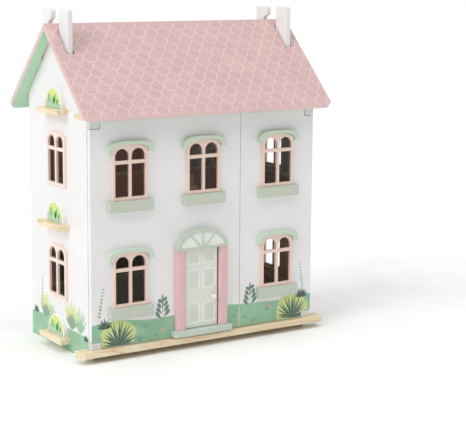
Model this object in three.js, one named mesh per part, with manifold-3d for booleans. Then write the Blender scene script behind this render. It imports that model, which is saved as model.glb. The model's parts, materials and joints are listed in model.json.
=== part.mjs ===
// Wooden dollhouse, millimetres. Design frame: X right seen from the front, Y back, Z up;
// Y = 0 is the outer face of the front doors, Z = 0 the top of the base board.
// The whole group is moved at the end so that the origin is the centre of the footprint, on the ground.
import * as THREE from "three";
import * as BufferGeometryUtils from "three/addons/utils/BufferGeometryUtils.js";
import Module from "manifold-3d";

const wasm = await Module();
wasm.setup();

// ---- body ----
const BOARD = 9; // walls, doors and roof boards
const HALF_BODY = 240; // outer face of the side walls
const HALF_INNER = HALF_BODY - BOARD;
const WALL_FRONT = 11;
const WALL_BACK = 243;
const GROUND = -22;
const BACK_BOARD = 6;
const INNER_BACK = WALL_BACK - BACK_BOARD;

// ---- base board ----
const BASE_THICK = 11;
const BASE_FRONT = -11;
const EAR_HALF = 265;
const EAR_BACK = 18;
const EAR_ROUND = 9;

// ---- floors ----
const FLOOR_THICK = 10;
const MID_TOP = 211;
const MID_FRONT = 16;
const ATTIC_TOP = 417;
const ATTIC_UNDER = ATTIC_TOP - FLOOR_THICK;
const ATTIC_FRONT = 0;
const TAB_BACK = 57;
const WELL = { x0: -23, x1: 19, y0: 101, y1: 201 }; // stair opening in both floors

// ---- stairs ----
const STAIR = { x0: -22, x1: 18, y0: 25, run: 16, steps: 11, waist: 15 };

// ---- roof ----
const RIDGE_Y = 127;
const RIDGE_Z = 572;
const ROOF_RUN = 157; // ridge to eave, along Y
const ROOF_HALF = 263;
const ROOF_ROUND = 12;
const ROOF_DROP = BOARD * Math.SQRT2; // board thickness measured upright at 45 degrees
const GABLE_GAP = 0.35;
const SLOT_SIDE = 3.5;
const SLOT_END = 2.5;
const RIDGE_GAP = 0.25; // each roof board stops this far from the ridge plane

// ---- chimney prongs: the side walls carried up through the roof ----
const PRONG_TOP = 597;
const PRONG_ROUND = 5;
const FRONT_PRONG = [77, 113];
const BACK_PRONG = [143, 180];
const HOOK = { z: 580, y: 158, drop: 14 }; // undercut on the inner edge of the back prong

// ---- front doors ----
const SEAM = 74;
const SEAM_GAP = 0.5;
const DOOR_BOTTOM = 1;
const DOOR_TOP = 406;
const BLOCK = { width: 20, height: 13, gap: 1 }; // pivot blocks in the door corners

// ---- windows ----
const SHOULDER = 79; // over the foot of the panes: where the heads of frame, hole and hood begin
const HEAD_POWER = 2.6; // of the flattened arches; 2 would be an ellipse
const PANE = { width: 27.5, mullion: 5.5, height: 85.8, transomLow: 58.5, transomHigh: 65 };
const FRAME = { half: 36, below: 6, rise: 13.7, thick: 5 };
const OPENING = { half: 34, below: 3.5, rise: 11.5 };
const HOOD = { half: 46, rise: 21, gap: 0.4, deep: 10, power: 3.4 }; // fuller shoulders than the head
const SILL = { half: 45, top: 6, bottom: 26.5, deep: 11, round: 5 };
const UPPER_PANE_Z = 270.5;
const LOWER_PANE_Z = 78;
const FRONT_WINDOWS = [
  { name: "upper_left", x: -162, z: UPPER_PANE_Z },
  { name: "upper_middle", x: -9, z: UPPER_PANE_Z },
  { name: "upper_right", x: 156.5, z: UPPER_PANE_Z },
  { name: "lower_left", x: -162, z: LOWER_PANE_Z },
  { name: "lower_right", x: 156.5, z: LOWER_PANE_Z },
];
const SIDE_WINDOW_Y = 125;
const SIDE_WINDOWS = [
  { name: "upper", z: 285.5 },
  { name: "lower", z: 78.5 },
];

// ---- planters on the side walls ----
const SHELF = { y0: 80, y1: 168, deep: 22, thick: 10 };
const SHELF_TOPS = { attic: 421, upper: 213.5, lower: 3.5 };
const ARCH = { y: 123, radius: 32.5, straight: 6, thick: 9 };

// ---- entrance ----
const ENTRANCE_X = -13.5;
const DOORWAY = { half: 35.5, z0: 13.5, z1: 163 };
const LEAF = { x0: -47.9, x1: 21.2, z0: 15, z1: 161.5, y: -4.5, thick: 6 };
const PILASTER = { inner: 36, width: 19.5, deep: 11, round: 5, z0: 14, z1: 163.5 };
const PEDIMENT = { half: 55, rise: 37, ring: 8, sill: 4, deep: 13, spoke: 2.4, recess: 1.2, aside: -1.5 };
const STEP = { half: 62.5, deep: 15, z0: 2, z1: 14 };
const KNOB = { x: 10.5, z: 70, radius: 5, stem: 2.6, reach: 12 };

// ---- magnetic catch ----
const CATCH = { x: 74, half: 18.5, y0: 10.5, z0: 190, z1: 211 };
const STRIKE = { inset: 3.5, width: 13, z0: 193, z1: 208, thick: 1 };

// ---- finishes ----
const WHITE = { color: "#f1f1ee", roughness: 0.55, metalness: 0 };
const NATURAL = { color: "#dcc39a", roughness: 0.62, metalness: 0 };
const MINT = { color: "#b7cdb8", roughness: 0.5, metalness: 0 };
const PEACH = { color: "#eed6c6", roughness: 0.55, metalness: 0 };
const PINK = { color: "#d9b0b0", roughness: 0.52, metalness: 0 };
const ROOF_PINK = { color: "#d9b8b6", roughness: 0.55, metalness: 0 };
const PALE_MINT = { color: "#cdd6cc", roughness: 0.5, metalness: 0 };
const PLANT = { color: "#a9c77c", roughness: 0.58, metalness: 0 };
const KNOB_WHITE = { color: "#ece9e0", roughness: 0.35, metalness: 0 };
const CATCH_GREY = { color: "#c9cbcb", roughness: 0.4, metalness: 0 };
const STEEL = { color: "#b9bcc0", roughness: 0.35, metalness: 0.9 };

const X_AXIS = new THREE.Vector3(1, 0, 0);
const Y_AXIS = new THREE.Vector3(0, 1, 0);
const Z_AXIS = new THREE.Vector3(0, 0, 1);
const MINUS_Y = new THREE.Vector3(0, -1, 0);

/** A named mesh with its own material. */
function piece(name, geometry, finish) {
  const mesh = new THREE.Mesh(geometry, new THREE.MeshStandardMaterial(finish));
  mesh.name = name;
  return mesh;
}

/** Outline extruded by a thickness, no bevel. */
function extrude(shape, thick, curveSegments = 8) {
  return new THREE.ExtrudeGeometry(shape, { depth: thick, bevelEnabled: false, curveSegments });
}

/** Board lying flat: outline in X, Y; from z0 upwards. */
function flatBoard(shape, z0, thick, curveSegments) {
  return extrude(shape, thick, curveSegments).translate(0, 0, z0);
}

/** Board facing the front: outline in X, Z; from y0 backwards. */
function frontBoard(shape, y0, thick, curveSegments) {
  const turn = new THREE.Matrix4().makeBasis(X_AXIS, Z_AXIS, MINUS_Y);
  return extrude(shape, thick, curveSegments).applyMatrix4(turn).translate(0, y0 + thick, 0);
}

/** Board facing sideways: outline in Y, Z; from x0 to the right. */
function sideBoard(shape, x0, thick, curveSegments) {
  const turn = new THREE.Matrix4().makeBasis(Y_AXIS, Z_AXIS, X_AXIS);
  return extrude(shape, thick, curveSegments).applyMatrix4(turn).translate(x0, 0, 0);
}

/** Closed shape through plain points. */
function polygon(points) {
  return new THREE.Shape(points.map(([a, b]) => new THREE.Vector2(a, b)));
}

/** Rectangle as a shape. */
function rectangle(a0, a1, b0, b1) {
  return polygon([[a0, b0], [a1, b0], [a1, b1], [a0, b1]]);
}

/** Box between two corners, as geometry. */
function block(x0, x1, y0, y1, z0, z1) {
  return flatBoard(rectangle(x0, x1, y0, y1), z0, z1 - z0);
}

/** Manifold solid from a three.js geometry. */
function solidOf(geometry) {
  const bare = geometry.index ? geometry.toNonIndexed() : geometry.clone();
  bare.deleteAttribute("normal");
  bare.deleteAttribute("uv");
  const merged = BufferGeometryUtils.mergeVertices(bare, 1e-4);
  return new wasm.Manifold(new wasm.Mesh({
    numProp: 3,
    vertProperties: new Float32Array(merged.attributes.position.array),
    triVerts: new Uint32Array(merged.index.array),
  }));
}

/** three.js geometry from a Manifold solid. */
function geometryOf(solid) {
  const mesh = solid.getMesh();
  const geometry = new THREE.BufferGeometry();
  const stride = mesh.numProp;
  const points = new Float32Array((mesh.vertProperties.length / stride) * 3);
  for (let i = 0; i < points.length / 3; i += 1) {
    points[3 * i] = mesh.vertProperties[stride * i];
    points[3 * i + 1] = mesh.vertProperties[stride * i + 1];
    points[3 * i + 2] = mesh.vertProperties[stride * i + 2];
  }
  geometry.setAttribute("position", new THREE.BufferAttribute(points, 3));
  geometry.setIndex(Array.from(mesh.triVerts));
  geometry.computeVertexNormals();
  return geometry;
}

/** Solid less a set of cutting geometries. */
function cutAway(geometry, cutters) {
  return geometryOf(cutters.reduce((left, cutter) => left.subtract(solidOf(cutter)), solidOf(geometry)));
}

/** Height of the gable edge at a depth, just under the roof boards. */
function gableZ(y) {
  return RIDGE_Z - ROOF_DROP - Math.abs(y - RIDGE_Y) - GABLE_GAP;
}

/** Board with an elliptical head: half width, foot height, shoulder height and rise above it. */
function headed(target, a, foot, half, shoulder, rise) {
  target.moveTo(a - half, foot);
  target.lineTo(a + half, foot);
  target.lineTo(a + half, shoulder);
  target.absellipse(a, shoulder, half, rise, 0, Math.PI, false, 0);
  target.closePath();
  return target;
}

/** Points of a flattened arch from its right foot to its left one: a superellipse. */
function flatArch(a, foot, half, rise, cuts, power = HEAD_POWER) {
  const points = [];
  for (let i = 0; i <= cuts; i += 1) {
    const angle = (Math.PI * i) / cuts;
    const across = Math.abs(Math.cos(angle)) ** (2 / power) * Math.sign(Math.cos(angle));
    const up = Math.abs(Math.sin(angle)) ** (2 / power);
    points.push([a + half * across, foot + rise * up]);
  }
  return points;
}

/** Outline of the hole behind a window frame, through a wall or a door. */
function windowHole(a, paneZ) {
  const { half, below, rise } = OPENING;
  const feet = [[a - half, paneZ - below], [a + half, paneZ - below]];
  return polygon([...feet, ...flatArch(a, paneZ + SHOULDER, half, rise, 14)]);
}

/** Window frame with four open panes, two of them arched; board turns an outline into a board. */
function windowFrame(a, paneZ, board, from) {
  const { half, below, rise } = FRAME;
  const feet = [[a - half, paneZ - below], [a + half, paneZ - below]];
  const outline = polygon([...feet, ...flatArch(a, paneZ + SHOULDER, half, rise, 16)]);
  const radius = PANE.width / 2;
  const spring = paneZ + PANE.height - radius;
  const panes = [];
  for (const side of [-1, 1]) {
    const centre = a + side * (PANE.mullion + PANE.width) / 2;
    const high = headed(new THREE.Shape(), centre, paneZ + PANE.transomHigh, radius, spring, radius);
    panes.push(rectangle(centre - radius, centre + radius, paneZ, paneZ + PANE.transomLow), high);
  }
  const cutters = panes.map((shape) => board(shape, from - FRAME.thick, 3 * FRAME.thick, 5));
  return cutAway(board(outline, from, FRAME.thick, 6), cutters);
}

/** Arched hood over a front window: a band that hugs the frame's head, on two flat feet. */
function windowHood(a, paneZ) {
  const foot = paneZ + SHOULDER;
  const inner = flatArch(a, foot, FRAME.half + HOOD.gap, FRAME.rise + HOOD.gap, 18);
  return polygon([...flatArch(a, foot, HOOD.half, HOOD.rise, 18, HOOD.power), ...inner.reverse()]);
}

/** Sill block under a front window with rounded lower corners. */
function windowSill(a, paneZ) {
  const { half, round } = SILL;
  const low = paneZ - SILL.bottom;
  const sill = new THREE.Shape();
  sill.moveTo(a - half, paneZ - SILL.top);
  sill.lineTo(a - half, low + round);
  sill.absarc(a - half + round, low + round, round, Math.PI, 1.5 * Math.PI, false);
  sill.lineTo(a + half - round, low);
  sill.absarc(a + half - round, low + round, round, 1.5 * Math.PI, 2 * Math.PI, false);
  sill.lineTo(a + half, paneZ - SILL.top);
  sill.closePath();
  return sill;
}

/** Base board: one plank, wider in front of the side walls and slotted to let them through. */
function baseBoard() {
  const r = EAR_ROUND;
  const outline = new THREE.Shape();
  outline.moveTo(-EAR_HALF + r, BASE_FRONT);
  outline.lineTo(EAR_HALF - r, BASE_FRONT);
  outline.absarc(EAR_HALF - r, BASE_FRONT + r, r, -Math.PI / 2, 0, false);
  outline.lineTo(EAR_HALF, EAR_BACK);
  outline.lineTo(HALF_BODY, EAR_BACK);
  outline.lineTo(HALF_BODY, WALL_FRONT);
  outline.lineTo(HALF_INNER, WALL_FRONT);
  outline.lineTo(HALF_INNER, WALL_BACK);
  outline.lineTo(-HALF_INNER, WALL_BACK);
  outline.lineTo(-HALF_INNER, WALL_FRONT);
  outline.lineTo(-HALF_BODY, WALL_FRONT);
  outline.lineTo(-HALF_BODY, EAR_BACK);
  outline.lineTo(-EAR_HALF, EAR_BACK);
  outline.lineTo(-EAR_HALF, BASE_FRONT + r);
  outline.absarc(-EAR_HALF + r, BASE_FRONT + r, r, Math.PI, 1.5 * Math.PI, false);
  outline.closePath();
  return piece("base_board", flatBoard(outline, -BASE_THICK, BASE_THICK, 5), NATURAL);
}

/** One side wall: gable, two chimney prongs, two window openings and the notch for the attic floor. */
function sideWall(name, x0) {
  const r = PRONG_ROUND;
  const wall = new THREE.Shape();
  wall.moveTo(WALL_FRONT, GROUND);
  wall.lineTo(WALL_BACK, GROUND);
  wall.lineTo(WALL_BACK, gableZ(WALL_BACK));
  wall.lineTo(BACK_PRONG[1], gableZ(BACK_PRONG[1]));
  wall.lineTo(BACK_PRONG[1], PRONG_TOP - r);
  wall.absarc(BACK_PRONG[1] - r, PRONG_TOP - r, r, 0, Math.PI / 2, false);
  wall.lineTo(BACK_PRONG[0] + r, PRONG_TOP);
  wall.absarc(BACK_PRONG[0] + r, PRONG_TOP - r, r, Math.PI / 2, Math.PI, false);
  wall.lineTo(BACK_PRONG[0], HOOK.z);
  wall.quadraticCurveTo(HOOK.y - 2, HOOK.z - 2, HOOK.y, HOOK.z - HOOK.drop);
  wall.lineTo(HOOK.y, gableZ(HOOK.y));
  wall.lineTo(RIDGE_Y, gableZ(RIDGE_Y));
  wall.lineTo(FRONT_PRONG[1], gableZ(FRONT_PRONG[1]));
  wall.lineTo(FRONT_PRONG[1], PRONG_TOP - r);
  wall.absarc(FRONT_PRONG[1] - r, PRONG_TOP - r, r, 0, Math.PI / 2, false);
  wall.lineTo(FRONT_PRONG[0] + r, PRONG_TOP);
  wall.absarc(FRONT_PRONG[0] + r, PRONG_TOP - r, r, Math.PI / 2, Math.PI, false);
  wall.lineTo(FRONT_PRONG[0], gableZ(FRONT_PRONG[0]));
  wall.lineTo(WALL_FRONT, gableZ(WALL_FRONT));
  wall.lineTo(WALL_FRONT, ATTIC_TOP);
  wall.lineTo(TAB_BACK, ATTIC_TOP);
  wall.lineTo(TAB_BACK, ATTIC_UNDER);
  wall.lineTo(WALL_FRONT, ATTIC_UNDER);
  wall.closePath();
  for (const window of SIDE_WINDOWS) {
    wall.holes.push(windowHole(SIDE_WINDOW_Y, window.z));
  }
  return piece(name, sideBoard(wall, x0, BOARD, 5), WHITE);
}

/** Back wall, let in between the side walls and standing on the base board. */
function backWall() {
  const top = Math.floor(gableZ(WALL_BACK));
  return piece("back_wall", block(-HALF_INNER, HALF_INNER, INNER_BACK, WALL_BACK, 0, top), WHITE);
}

/** Middle floor with the stair opening. */
function upperFloor() {
  const outline = rectangle(-HALF_INNER, HALF_INNER, MID_FRONT, INNER_BACK);
  outline.holes.push(rectangle(WELL.x0, WELL.x1, WELL.y0, WELL.y1));
  return piece("upper_floor", flatBoard(outline, MID_TOP - FLOOR_THICK, FLOOR_THICK), NATURAL);
}

/** Attic floor; its front corners pass through the side walls and carry the top pivot blocks. */
function atticFloor() {
  const outline = polygon([
    [-HALF_BODY, ATTIC_FRONT], [HALF_BODY, ATTIC_FRONT], [HALF_BODY, TAB_BACK], [HALF_INNER, TAB_BACK],
    [HALF_INNER, INNER_BACK], [-HALF_INNER, INNER_BACK], [-HALF_INNER, TAB_BACK], [-HALF_BODY, TAB_BACK],
  ]);
  outline.holes.push(rectangle(WELL.x0, WELL.x1, WELL.y0, WELL.y1));
  return piece("attic_floor", flatBoard(outline, ATTIC_UNDER, FLOOR_THICK), NATURAL);
}

/** Straight flight cut from one plank, rising towards the back. */
function stairFlight(name, z0, z1) {
  const { y0, run, steps, waist } = STAIR;
  const rise = (z1 - z0) / steps;
  const points = [[y0, z0]];
  for (let i = 0; i < steps; i += 1) {
    points.push([y0 + i * run, z0 + (i + 1) * rise]);
    points.push([y0 + (i + 1) * run, z0 + (i + 1) * rise]);
  }
  const end = y0 + steps * run;
  points.push([end, z1 - rise - waist]);
  points.push([y0 + run + waist * (run / rise), z0]);
  return piece(name, sideBoard(polygon(points), STAIR.x0, STAIR.x1 - STAIR.x0), NATURAL);
}

/** One roof board at 45 degrees: rounded eave corners, upright cut at the ridge, two slots for the prongs. */
function roofPanel(name, side, prong) {
  const length = ROOF_RUN * Math.SQRT2;
  const extra = 20;
  const r = ROOF_ROUND;
  const outline = new THREE.Shape();
  outline.moveTo(ROOF_HALF, extra);
  outline.lineTo(-ROOF_HALF, extra);
  outline.lineTo(-ROOF_HALF, r - length);
  outline.absarc(-ROOF_HALF + r, r - length, r, Math.PI, 1.5 * Math.PI, false);
  outline.lineTo(ROOF_HALF - r, -length);
  outline.absarc(ROOF_HALF - r, r - length, r, 1.5 * Math.PI, 2 * Math.PI, false);
  outline.closePath();
  const geometry = extrude(outline, BOARD, 6).translate(0, 0, -BOARD);
  geometry.rotateX(Math.PI / 4);
  if (side > 0) {
    geometry.rotateZ(Math.PI);
  }
  geometry.translate(0, RIDGE_Y, RIDGE_Z);
  const near = side < 0 ? RIDGE_Y - 400 : RIDGE_Y + RIDGE_GAP;
  const far = side < 0 ? RIDGE_Y - RIDGE_GAP : RIDGE_Y + 400;
  let solid = solidOf(geometry).intersect(solidOf(block(-400, 400, near, far, 300, 700)));
  for (const x0 of [-HALF_BODY, HALF_INNER]) {
    solid = solid.subtract(solidOf(block(
      x0 - SLOT_SIDE, x0 + BOARD + SLOT_SIDE, prong[0] - SLOT_END, prong[1] + SLOT_END, 400, 640,
    )));
  }
  return piece(name, geometryOf(solid), ROOF_PINK);
}

/** Outline of a front door between two X limits, its outer corners cut away for the pivot blocks. */
function doorOutline(x0, x1, outerLeft) {
  const cut = BLOCK.width + BLOCK.gap;
  const low = BLOCK.height + BLOCK.gap;
  const high = ATTIC_UNDER - low;
  if (outerLeft) {
    return polygon([
      [x0 + cut, DOOR_BOTTOM], [x1, DOOR_BOTTOM], [x1, DOOR_TOP], [x0 + cut, DOOR_TOP],
      [x0 + cut, high], [x0, high], [x0, low], [x0 + cut, low],
    ]);
  }
  return polygon([
    [x0, DOOR_BOTTOM], [x1 - cut, DOOR_BOTTOM], [x1 - cut, low], [x1, low],
    [x1, high], [x1 - cut, high], [x1 - cut, DOOR_TOP], [x0, DOOR_TOP],
  ]);
}

/** Prisms that cut the chosen front windows through a door. */
function windowCutters(chosen) {
  return FRONT_WINDOWS.filter(chosen).map(({ x, z }) => frontBoard(windowHole(x, z), -BOARD, 3 * BOARD, 6));
}

/** Wide left front door with three window openings and the doorway. */
function leftFrontDoor() {
  const outline = doorOutline(-HALF_BODY, SEAM - SEAM_GAP, true);
  const { half, z0, z1 } = DOORWAY;
  const cutters = windowCutters(({ x }) => x < SEAM);
  cutters.push(block(ENTRANCE_X - half, ENTRANCE_X + half, -BOARD, 2 * BOARD, z0, z1));
  return piece("left_front_door", cutAway(frontBoard(outline, 0, BOARD), cutters), WHITE);
}

/** Narrow right front door with two window openings. */
function rightFrontDoor() {
  const outline = doorOutline(SEAM + SEAM_GAP, HALF_BODY, false);
  const cutters = windowCutters(({ x }) => x > SEAM);
  return piece("right_front_door", cutAway(frontBoard(outline, 0, BOARD), cutters), WHITE);
}

/** Pivot blocks that hold the door pins, on the base board and under the attic floor. */
function pivotBlocks() {
  const blocks = [];
  for (const [side, x0] of [["left", -HALF_BODY], ["right", HALF_BODY - BLOCK.width]]) {
    const low = block(x0, x0 + BLOCK.width, 0, BOARD, 0, BLOCK.height);
    const high = block(x0, x0 + BLOCK.width, 0, BOARD, ATTIC_UNDER - BLOCK.height, ATTIC_UNDER);
    blocks.push(piece(`${side}_bottom_pivot_block`, low, WHITE));
    blocks.push(piece(`${side}_top_pivot_block`, high, WHITE));
  }
  return blocks;
}

/** Frame, hood and sill of every front window. */
function frontWindows() {
  const parts = [];
  for (const { name, x, z } of FRONT_WINDOWS) {
    const frame = windowFrame(x, z, frontBoard, -FRAME.thick);
    const hood = frontBoard(windowHood(x, z), -HOOD.deep, HOOD.deep, 7);
    const sill = frontBoard(windowSill(x, z), -SILL.deep, SILL.deep, 3);
    parts.push(piece(`${name}_window_frame`, frame, PEACH));
    parts.push(piece(`${name}_window_hood`, hood, MINT));
    parts.push(piece(`${name}_window_sill`, sill, MINT));
  }
  return parts;
}

/** Frames on the outside of both side walls. */
function sideWindows() {
  const parts = [];
  for (const [side, x0] of [["left", -HALF_BODY - FRAME.thick], ["right", HALF_BODY]]) {
    for (const { name, z } of SIDE_WINDOWS) {
      const frame = windowFrame(SIDE_WINDOW_Y, z, sideBoard, x0);
      parts.push(piece(`${side}_side_${name}_window_frame`, frame, PEACH));
    }
  }
  return parts;
}

/** Planters on both side walls: an arched plant board standing on a shelf block. */
function planters() {
  const parts = [];
  for (const side of ["left", "right"]) {
    const shelfX = side === "left" ? -HALF_BODY - SHELF.deep : HALF_BODY;
    const archX = side === "left" ? -HALF_BODY - ARCH.thick : HALF_BODY;
    for (const [level, top] of Object.entries(SHELF_TOPS)) {
      const shelf = block(shelfX, shelfX + SHELF.deep, SHELF.y0, SHELF.y1, top - SHELF.thick, top);
      const outline = new THREE.Shape();
      headed(outline, ARCH.y, top, ARCH.radius, top + ARCH.straight, ARCH.radius);
      parts.push(piece(`${side}_${level}_planter_shelf`, shelf, NATURAL));
      parts.push(piece(`${side}_${level}_planter_board`, sideBoard(outline, archX, ARCH.thick, 7), PLANT));
    }
  }
  return parts;
}

/** Pilaster beside the doorway, its two front edges rounded. */
function pilaster(name, x0) {
  const { width, deep, round, z0, z1 } = PILASTER;
  const outline = new THREE.Shape();
  outline.moveTo(x0, 0);
  outline.lineTo(x0, -deep + round);
  outline.absarc(x0 + round, -deep + round, round, Math.PI, 1.5 * Math.PI, false);
  outline.lineTo(x0 + width - round, -deep);
  outline.absarc(x0 + width - round, -deep + round, round, 1.5 * Math.PI, 2 * Math.PI, false);
  outline.lineTo(x0 + width, 0);
  outline.closePath();
  return piece(name, flatBoard(outline, z0, z1 - z0, 4), PINK);
}

/** Where a ray from a point meets the ellipse with half axes a and b round the origin. */
function meetEllipse([px, pz], [dx, dz], a, b) {
  const qa = (dx / a) ** 2 + (dz / b) ** 2;
  const qb = 2 * ((px * dx) / a ** 2 + (pz * dz) / b ** 2);
  const qc = (px / a) ** 2 + (pz / b) ** 2 - 1;
  const t = (-qb + Math.sqrt(qb * qb - 4 * qa * qc)) / (2 * qa);
  return [px + t * dx, pz + t * dz];
}

/** Fanlight over the doorway: an elliptical board with four shallow lights cut between three spokes. */
function pediment() {
  const { half, rise, ring, sill, deep, spoke, recess } = PEDIMENT;
  const centre = ENTRANCE_X + PEDIMENT.aside;
  const foot = PILASTER.z1;
  const outline = new THREE.Shape();
  outline.moveTo(centre - half, foot);
  outline.lineTo(centre + half, foot);
  outline.absellipse(centre, foot, half, rise, 0, Math.PI, false, 0);
  outline.closePath();
  const a = half - ring;
  const b = rise - ring + 1;
  const lights = 4;
  const recesses = [];
  for (let i = 0; i < lights; i += 1) {
    const from = (i * Math.PI) / lights;
    const to = ((i + 1) * Math.PI) / lights;
    const middle = (from + to) / 2;
    const gapFrom = i === 0 ? sill : spoke / 2;
    const gapTo = i === lights - 1 ? sill : spoke / 2;
    const spread = Math.sin((to - from) / 2);
    const reach = (gapFrom + gapTo) / 2 / spread + 1.5;
    const corner = [reach * Math.cos(middle), reach * Math.sin(middle)];
    corner[1] = Math.max(corner[1], i === 0 || i === lights - 1 ? sill : 0);
    const [fromX, fromZ] = [Math.cos(from), Math.sin(from)];
    const [toX, toZ] = [Math.cos(to), Math.sin(to)];
    const start = i === 0
      ? meetEllipse([0, sill], [1, 0], a, b)
      : meetEllipse([-gapFrom * fromZ, gapFrom * fromX], [fromX, fromZ], a, b);
    const end = i === lights - 1
      ? meetEllipse([0, sill], [-1, 0], a, b)
      : meetEllipse([gapTo * toZ, -gapTo * toX], [toX, toZ], a, b);
    const t0 = Math.atan2(start[1] / b, start[0] / a);
    const t1 = Math.atan2(end[1] / b, end[0] / a);
    const points = [[centre + corner[0], foot + corner[1]]];
    const cuts = 4;
    for (let k = 0; k <= cuts; k += 1) {
      const t = t0 + ((t1 - t0) * k) / cuts;
      points.push([centre + a * Math.cos(t), foot + b * Math.sin(t)]);
    }
    recesses.push(frontBoard(polygon(points), -2 * deep, deep + recess));
  }
  return piece("entrance_pediment", cutAway(frontBoard(outline, -deep, deep, 9), recesses), MINT);
}

/** Entrance: doorstep, pilasters, pediment, the small door and its knob. */
function entrance() {
  const step = block(ENTRANCE_X - STEP.half, ENTRANCE_X + STEP.half, -STEP.deep, 0, STEP.z0, STEP.z1);
  const leaf = block(LEAF.x0, LEAF.x1, LEAF.y, LEAF.y + LEAF.thick, LEAF.z0, LEAF.z1);
  return [
    piece("entrance_step", step, PALE_MINT),
    pilaster("entrance_left_pilaster", ENTRANCE_X - PILASTER.inner - PILASTER.width),
    pilaster("entrance_right_pilaster", ENTRANCE_X + PILASTER.inner),
    pediment(),
    piece("entrance_door", leaf, PALE_MINT),
    doorKnob(),
  ];
}

/** Ball knob on a short stem, turned about an axis that points forward. */
function doorKnob() {
  const { radius, stem, reach, x, z } = KNOB;
  const profile = [new THREE.Vector2(0, 0), new THREE.Vector2(stem, 0)];
  const start = Math.asin(stem / radius);
  const rings = 7;
  for (let i = 0; i <= rings; i += 1) {
    const angle = start + ((Math.PI - start) * i) / rings;
    const across = i === rings ? 0 : radius * Math.sin(angle);
    profile.push(new THREE.Vector2(across, reach - radius - radius * Math.cos(angle)));
  }
  const geometry = new THREE.LatheGeometry(profile, 16).rotateX(Math.PI);
  return piece("door_knob", geometry.translate(x, LEAF.y, z), KNOB_WHITE);
}

/** Double magnetic catch on the edge of the middle floor and its two strike plates on the doors. */
function catchParts() {
  const { x, half, y0, z0, z1 } = CATCH;
  const { inset, width, thick } = STRIKE;
  const body = block(x - half, x + half, y0, MID_FRONT, z0, z1);
  const left = block(x - inset - width, x - inset, BOARD, BOARD + thick, STRIKE.z0, STRIKE.z1);
  const right = block(x + inset, x + inset + width, BOARD, BOARD + thick, STRIKE.z0, STRIKE.z1);
  return [
    piece("magnetic_catch", body, CATCH_GREY),
    piece("left_strike_plate", left, STEEL),
    piece("right_strike_plate", right, STEEL),
  ];
}

/** The whole dollhouse. */
function dollhouse() {
  const house = new THREE.Group();
  house.name = "dollhouse";
  house.add(
    baseBoard(),
    sideWall("left_side_wall", -HALF_BODY),
    sideWall("right_side_wall", HALF_INNER),
    backWall(),
    upperFloor(),
    atticFloor(),
    stairFlight("lower_stairs", 0, MID_TOP),
    stairFlight("upper_stairs", MID_TOP, ATTIC_TOP),
    roofPanel("front_roof_panel", -1, FRONT_PRONG),
    roofPanel("back_roof_panel", 1, BACK_PRONG),
    leftFrontDoor(),
    rightFrontDoor(),
    ...pivotBlocks(),
    ...frontWindows(),
    ...sideWindows(),
    ...planters(),
    ...entrance(),
    ...catchParts(),
  );
  house.position.set(0, -RIDGE_Y, -GROUND);
  return house;
}

export default dollhouse();
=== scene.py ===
"""Wooden dollhouse: painted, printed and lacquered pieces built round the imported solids.

All sizes are metres. X points right seen from the front, the front doors face -Y and Z points up.
"""

from __future__ import annotations

import json
import logging
import math
import random
from collections.abc import Iterable, Mapping, Sequence
from dataclasses import dataclass, field
from enum import Enum
from typing import Any

import bmesh
import bpy
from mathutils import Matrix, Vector
from mathutils.geometry import tessellate_polygon


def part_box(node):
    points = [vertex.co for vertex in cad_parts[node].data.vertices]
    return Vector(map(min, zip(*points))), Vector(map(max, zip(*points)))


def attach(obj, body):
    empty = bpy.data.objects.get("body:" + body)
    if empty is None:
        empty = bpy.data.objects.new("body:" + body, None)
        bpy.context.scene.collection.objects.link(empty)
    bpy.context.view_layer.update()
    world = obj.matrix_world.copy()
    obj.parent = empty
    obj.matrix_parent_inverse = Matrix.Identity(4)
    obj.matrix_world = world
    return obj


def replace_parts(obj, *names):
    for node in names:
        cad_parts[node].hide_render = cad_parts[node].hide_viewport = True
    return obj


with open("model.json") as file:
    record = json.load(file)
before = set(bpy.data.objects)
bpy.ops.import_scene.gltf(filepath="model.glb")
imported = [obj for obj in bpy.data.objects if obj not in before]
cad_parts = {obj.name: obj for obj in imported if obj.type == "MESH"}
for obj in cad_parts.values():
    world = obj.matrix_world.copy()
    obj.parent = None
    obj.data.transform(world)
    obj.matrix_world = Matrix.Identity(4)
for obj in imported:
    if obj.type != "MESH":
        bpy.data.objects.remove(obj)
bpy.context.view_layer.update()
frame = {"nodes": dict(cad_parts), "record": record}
LOG = logging.getLogger("dollhouse")

Point = tuple[float, float]
Loop = list[Point]
Colour = tuple[float, float, float, float]

MM = 0.001
PRINT_EDGE = 0.4 * MM  # over which one printed colour gives way to the next
SKIN_EDGE = 0.1 * MM  # over which a board's skin gives way to its core
SRGB_KNEE, SRGB_SLOPE, SRGB_LIFT, SRGB_POWER = 0.04045, 12.92, 0.055, 2.4


def tint(code: str) -> Colour:
    """Turns a hex colour as seen on a paint card into a linear colour.

    Args:
        code: six hex digits after a hash sign.

    Returns:
        Linear red, green, blue and full alpha.
    """
    shares = [int(code[i : i + 2], 16) / 255 for i in (1, 3, 5)]
    linear = [
        s / SRGB_SLOPE if s <= SRGB_KNEE else ((s + SRGB_LIFT) / (1 + SRGB_LIFT)) ** SRGB_POWER
        for s in shares
    ]
    return (linear[0], linear[1], linear[2], 1.0)


# ---------------------------------------------------------------- shader maths


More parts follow.
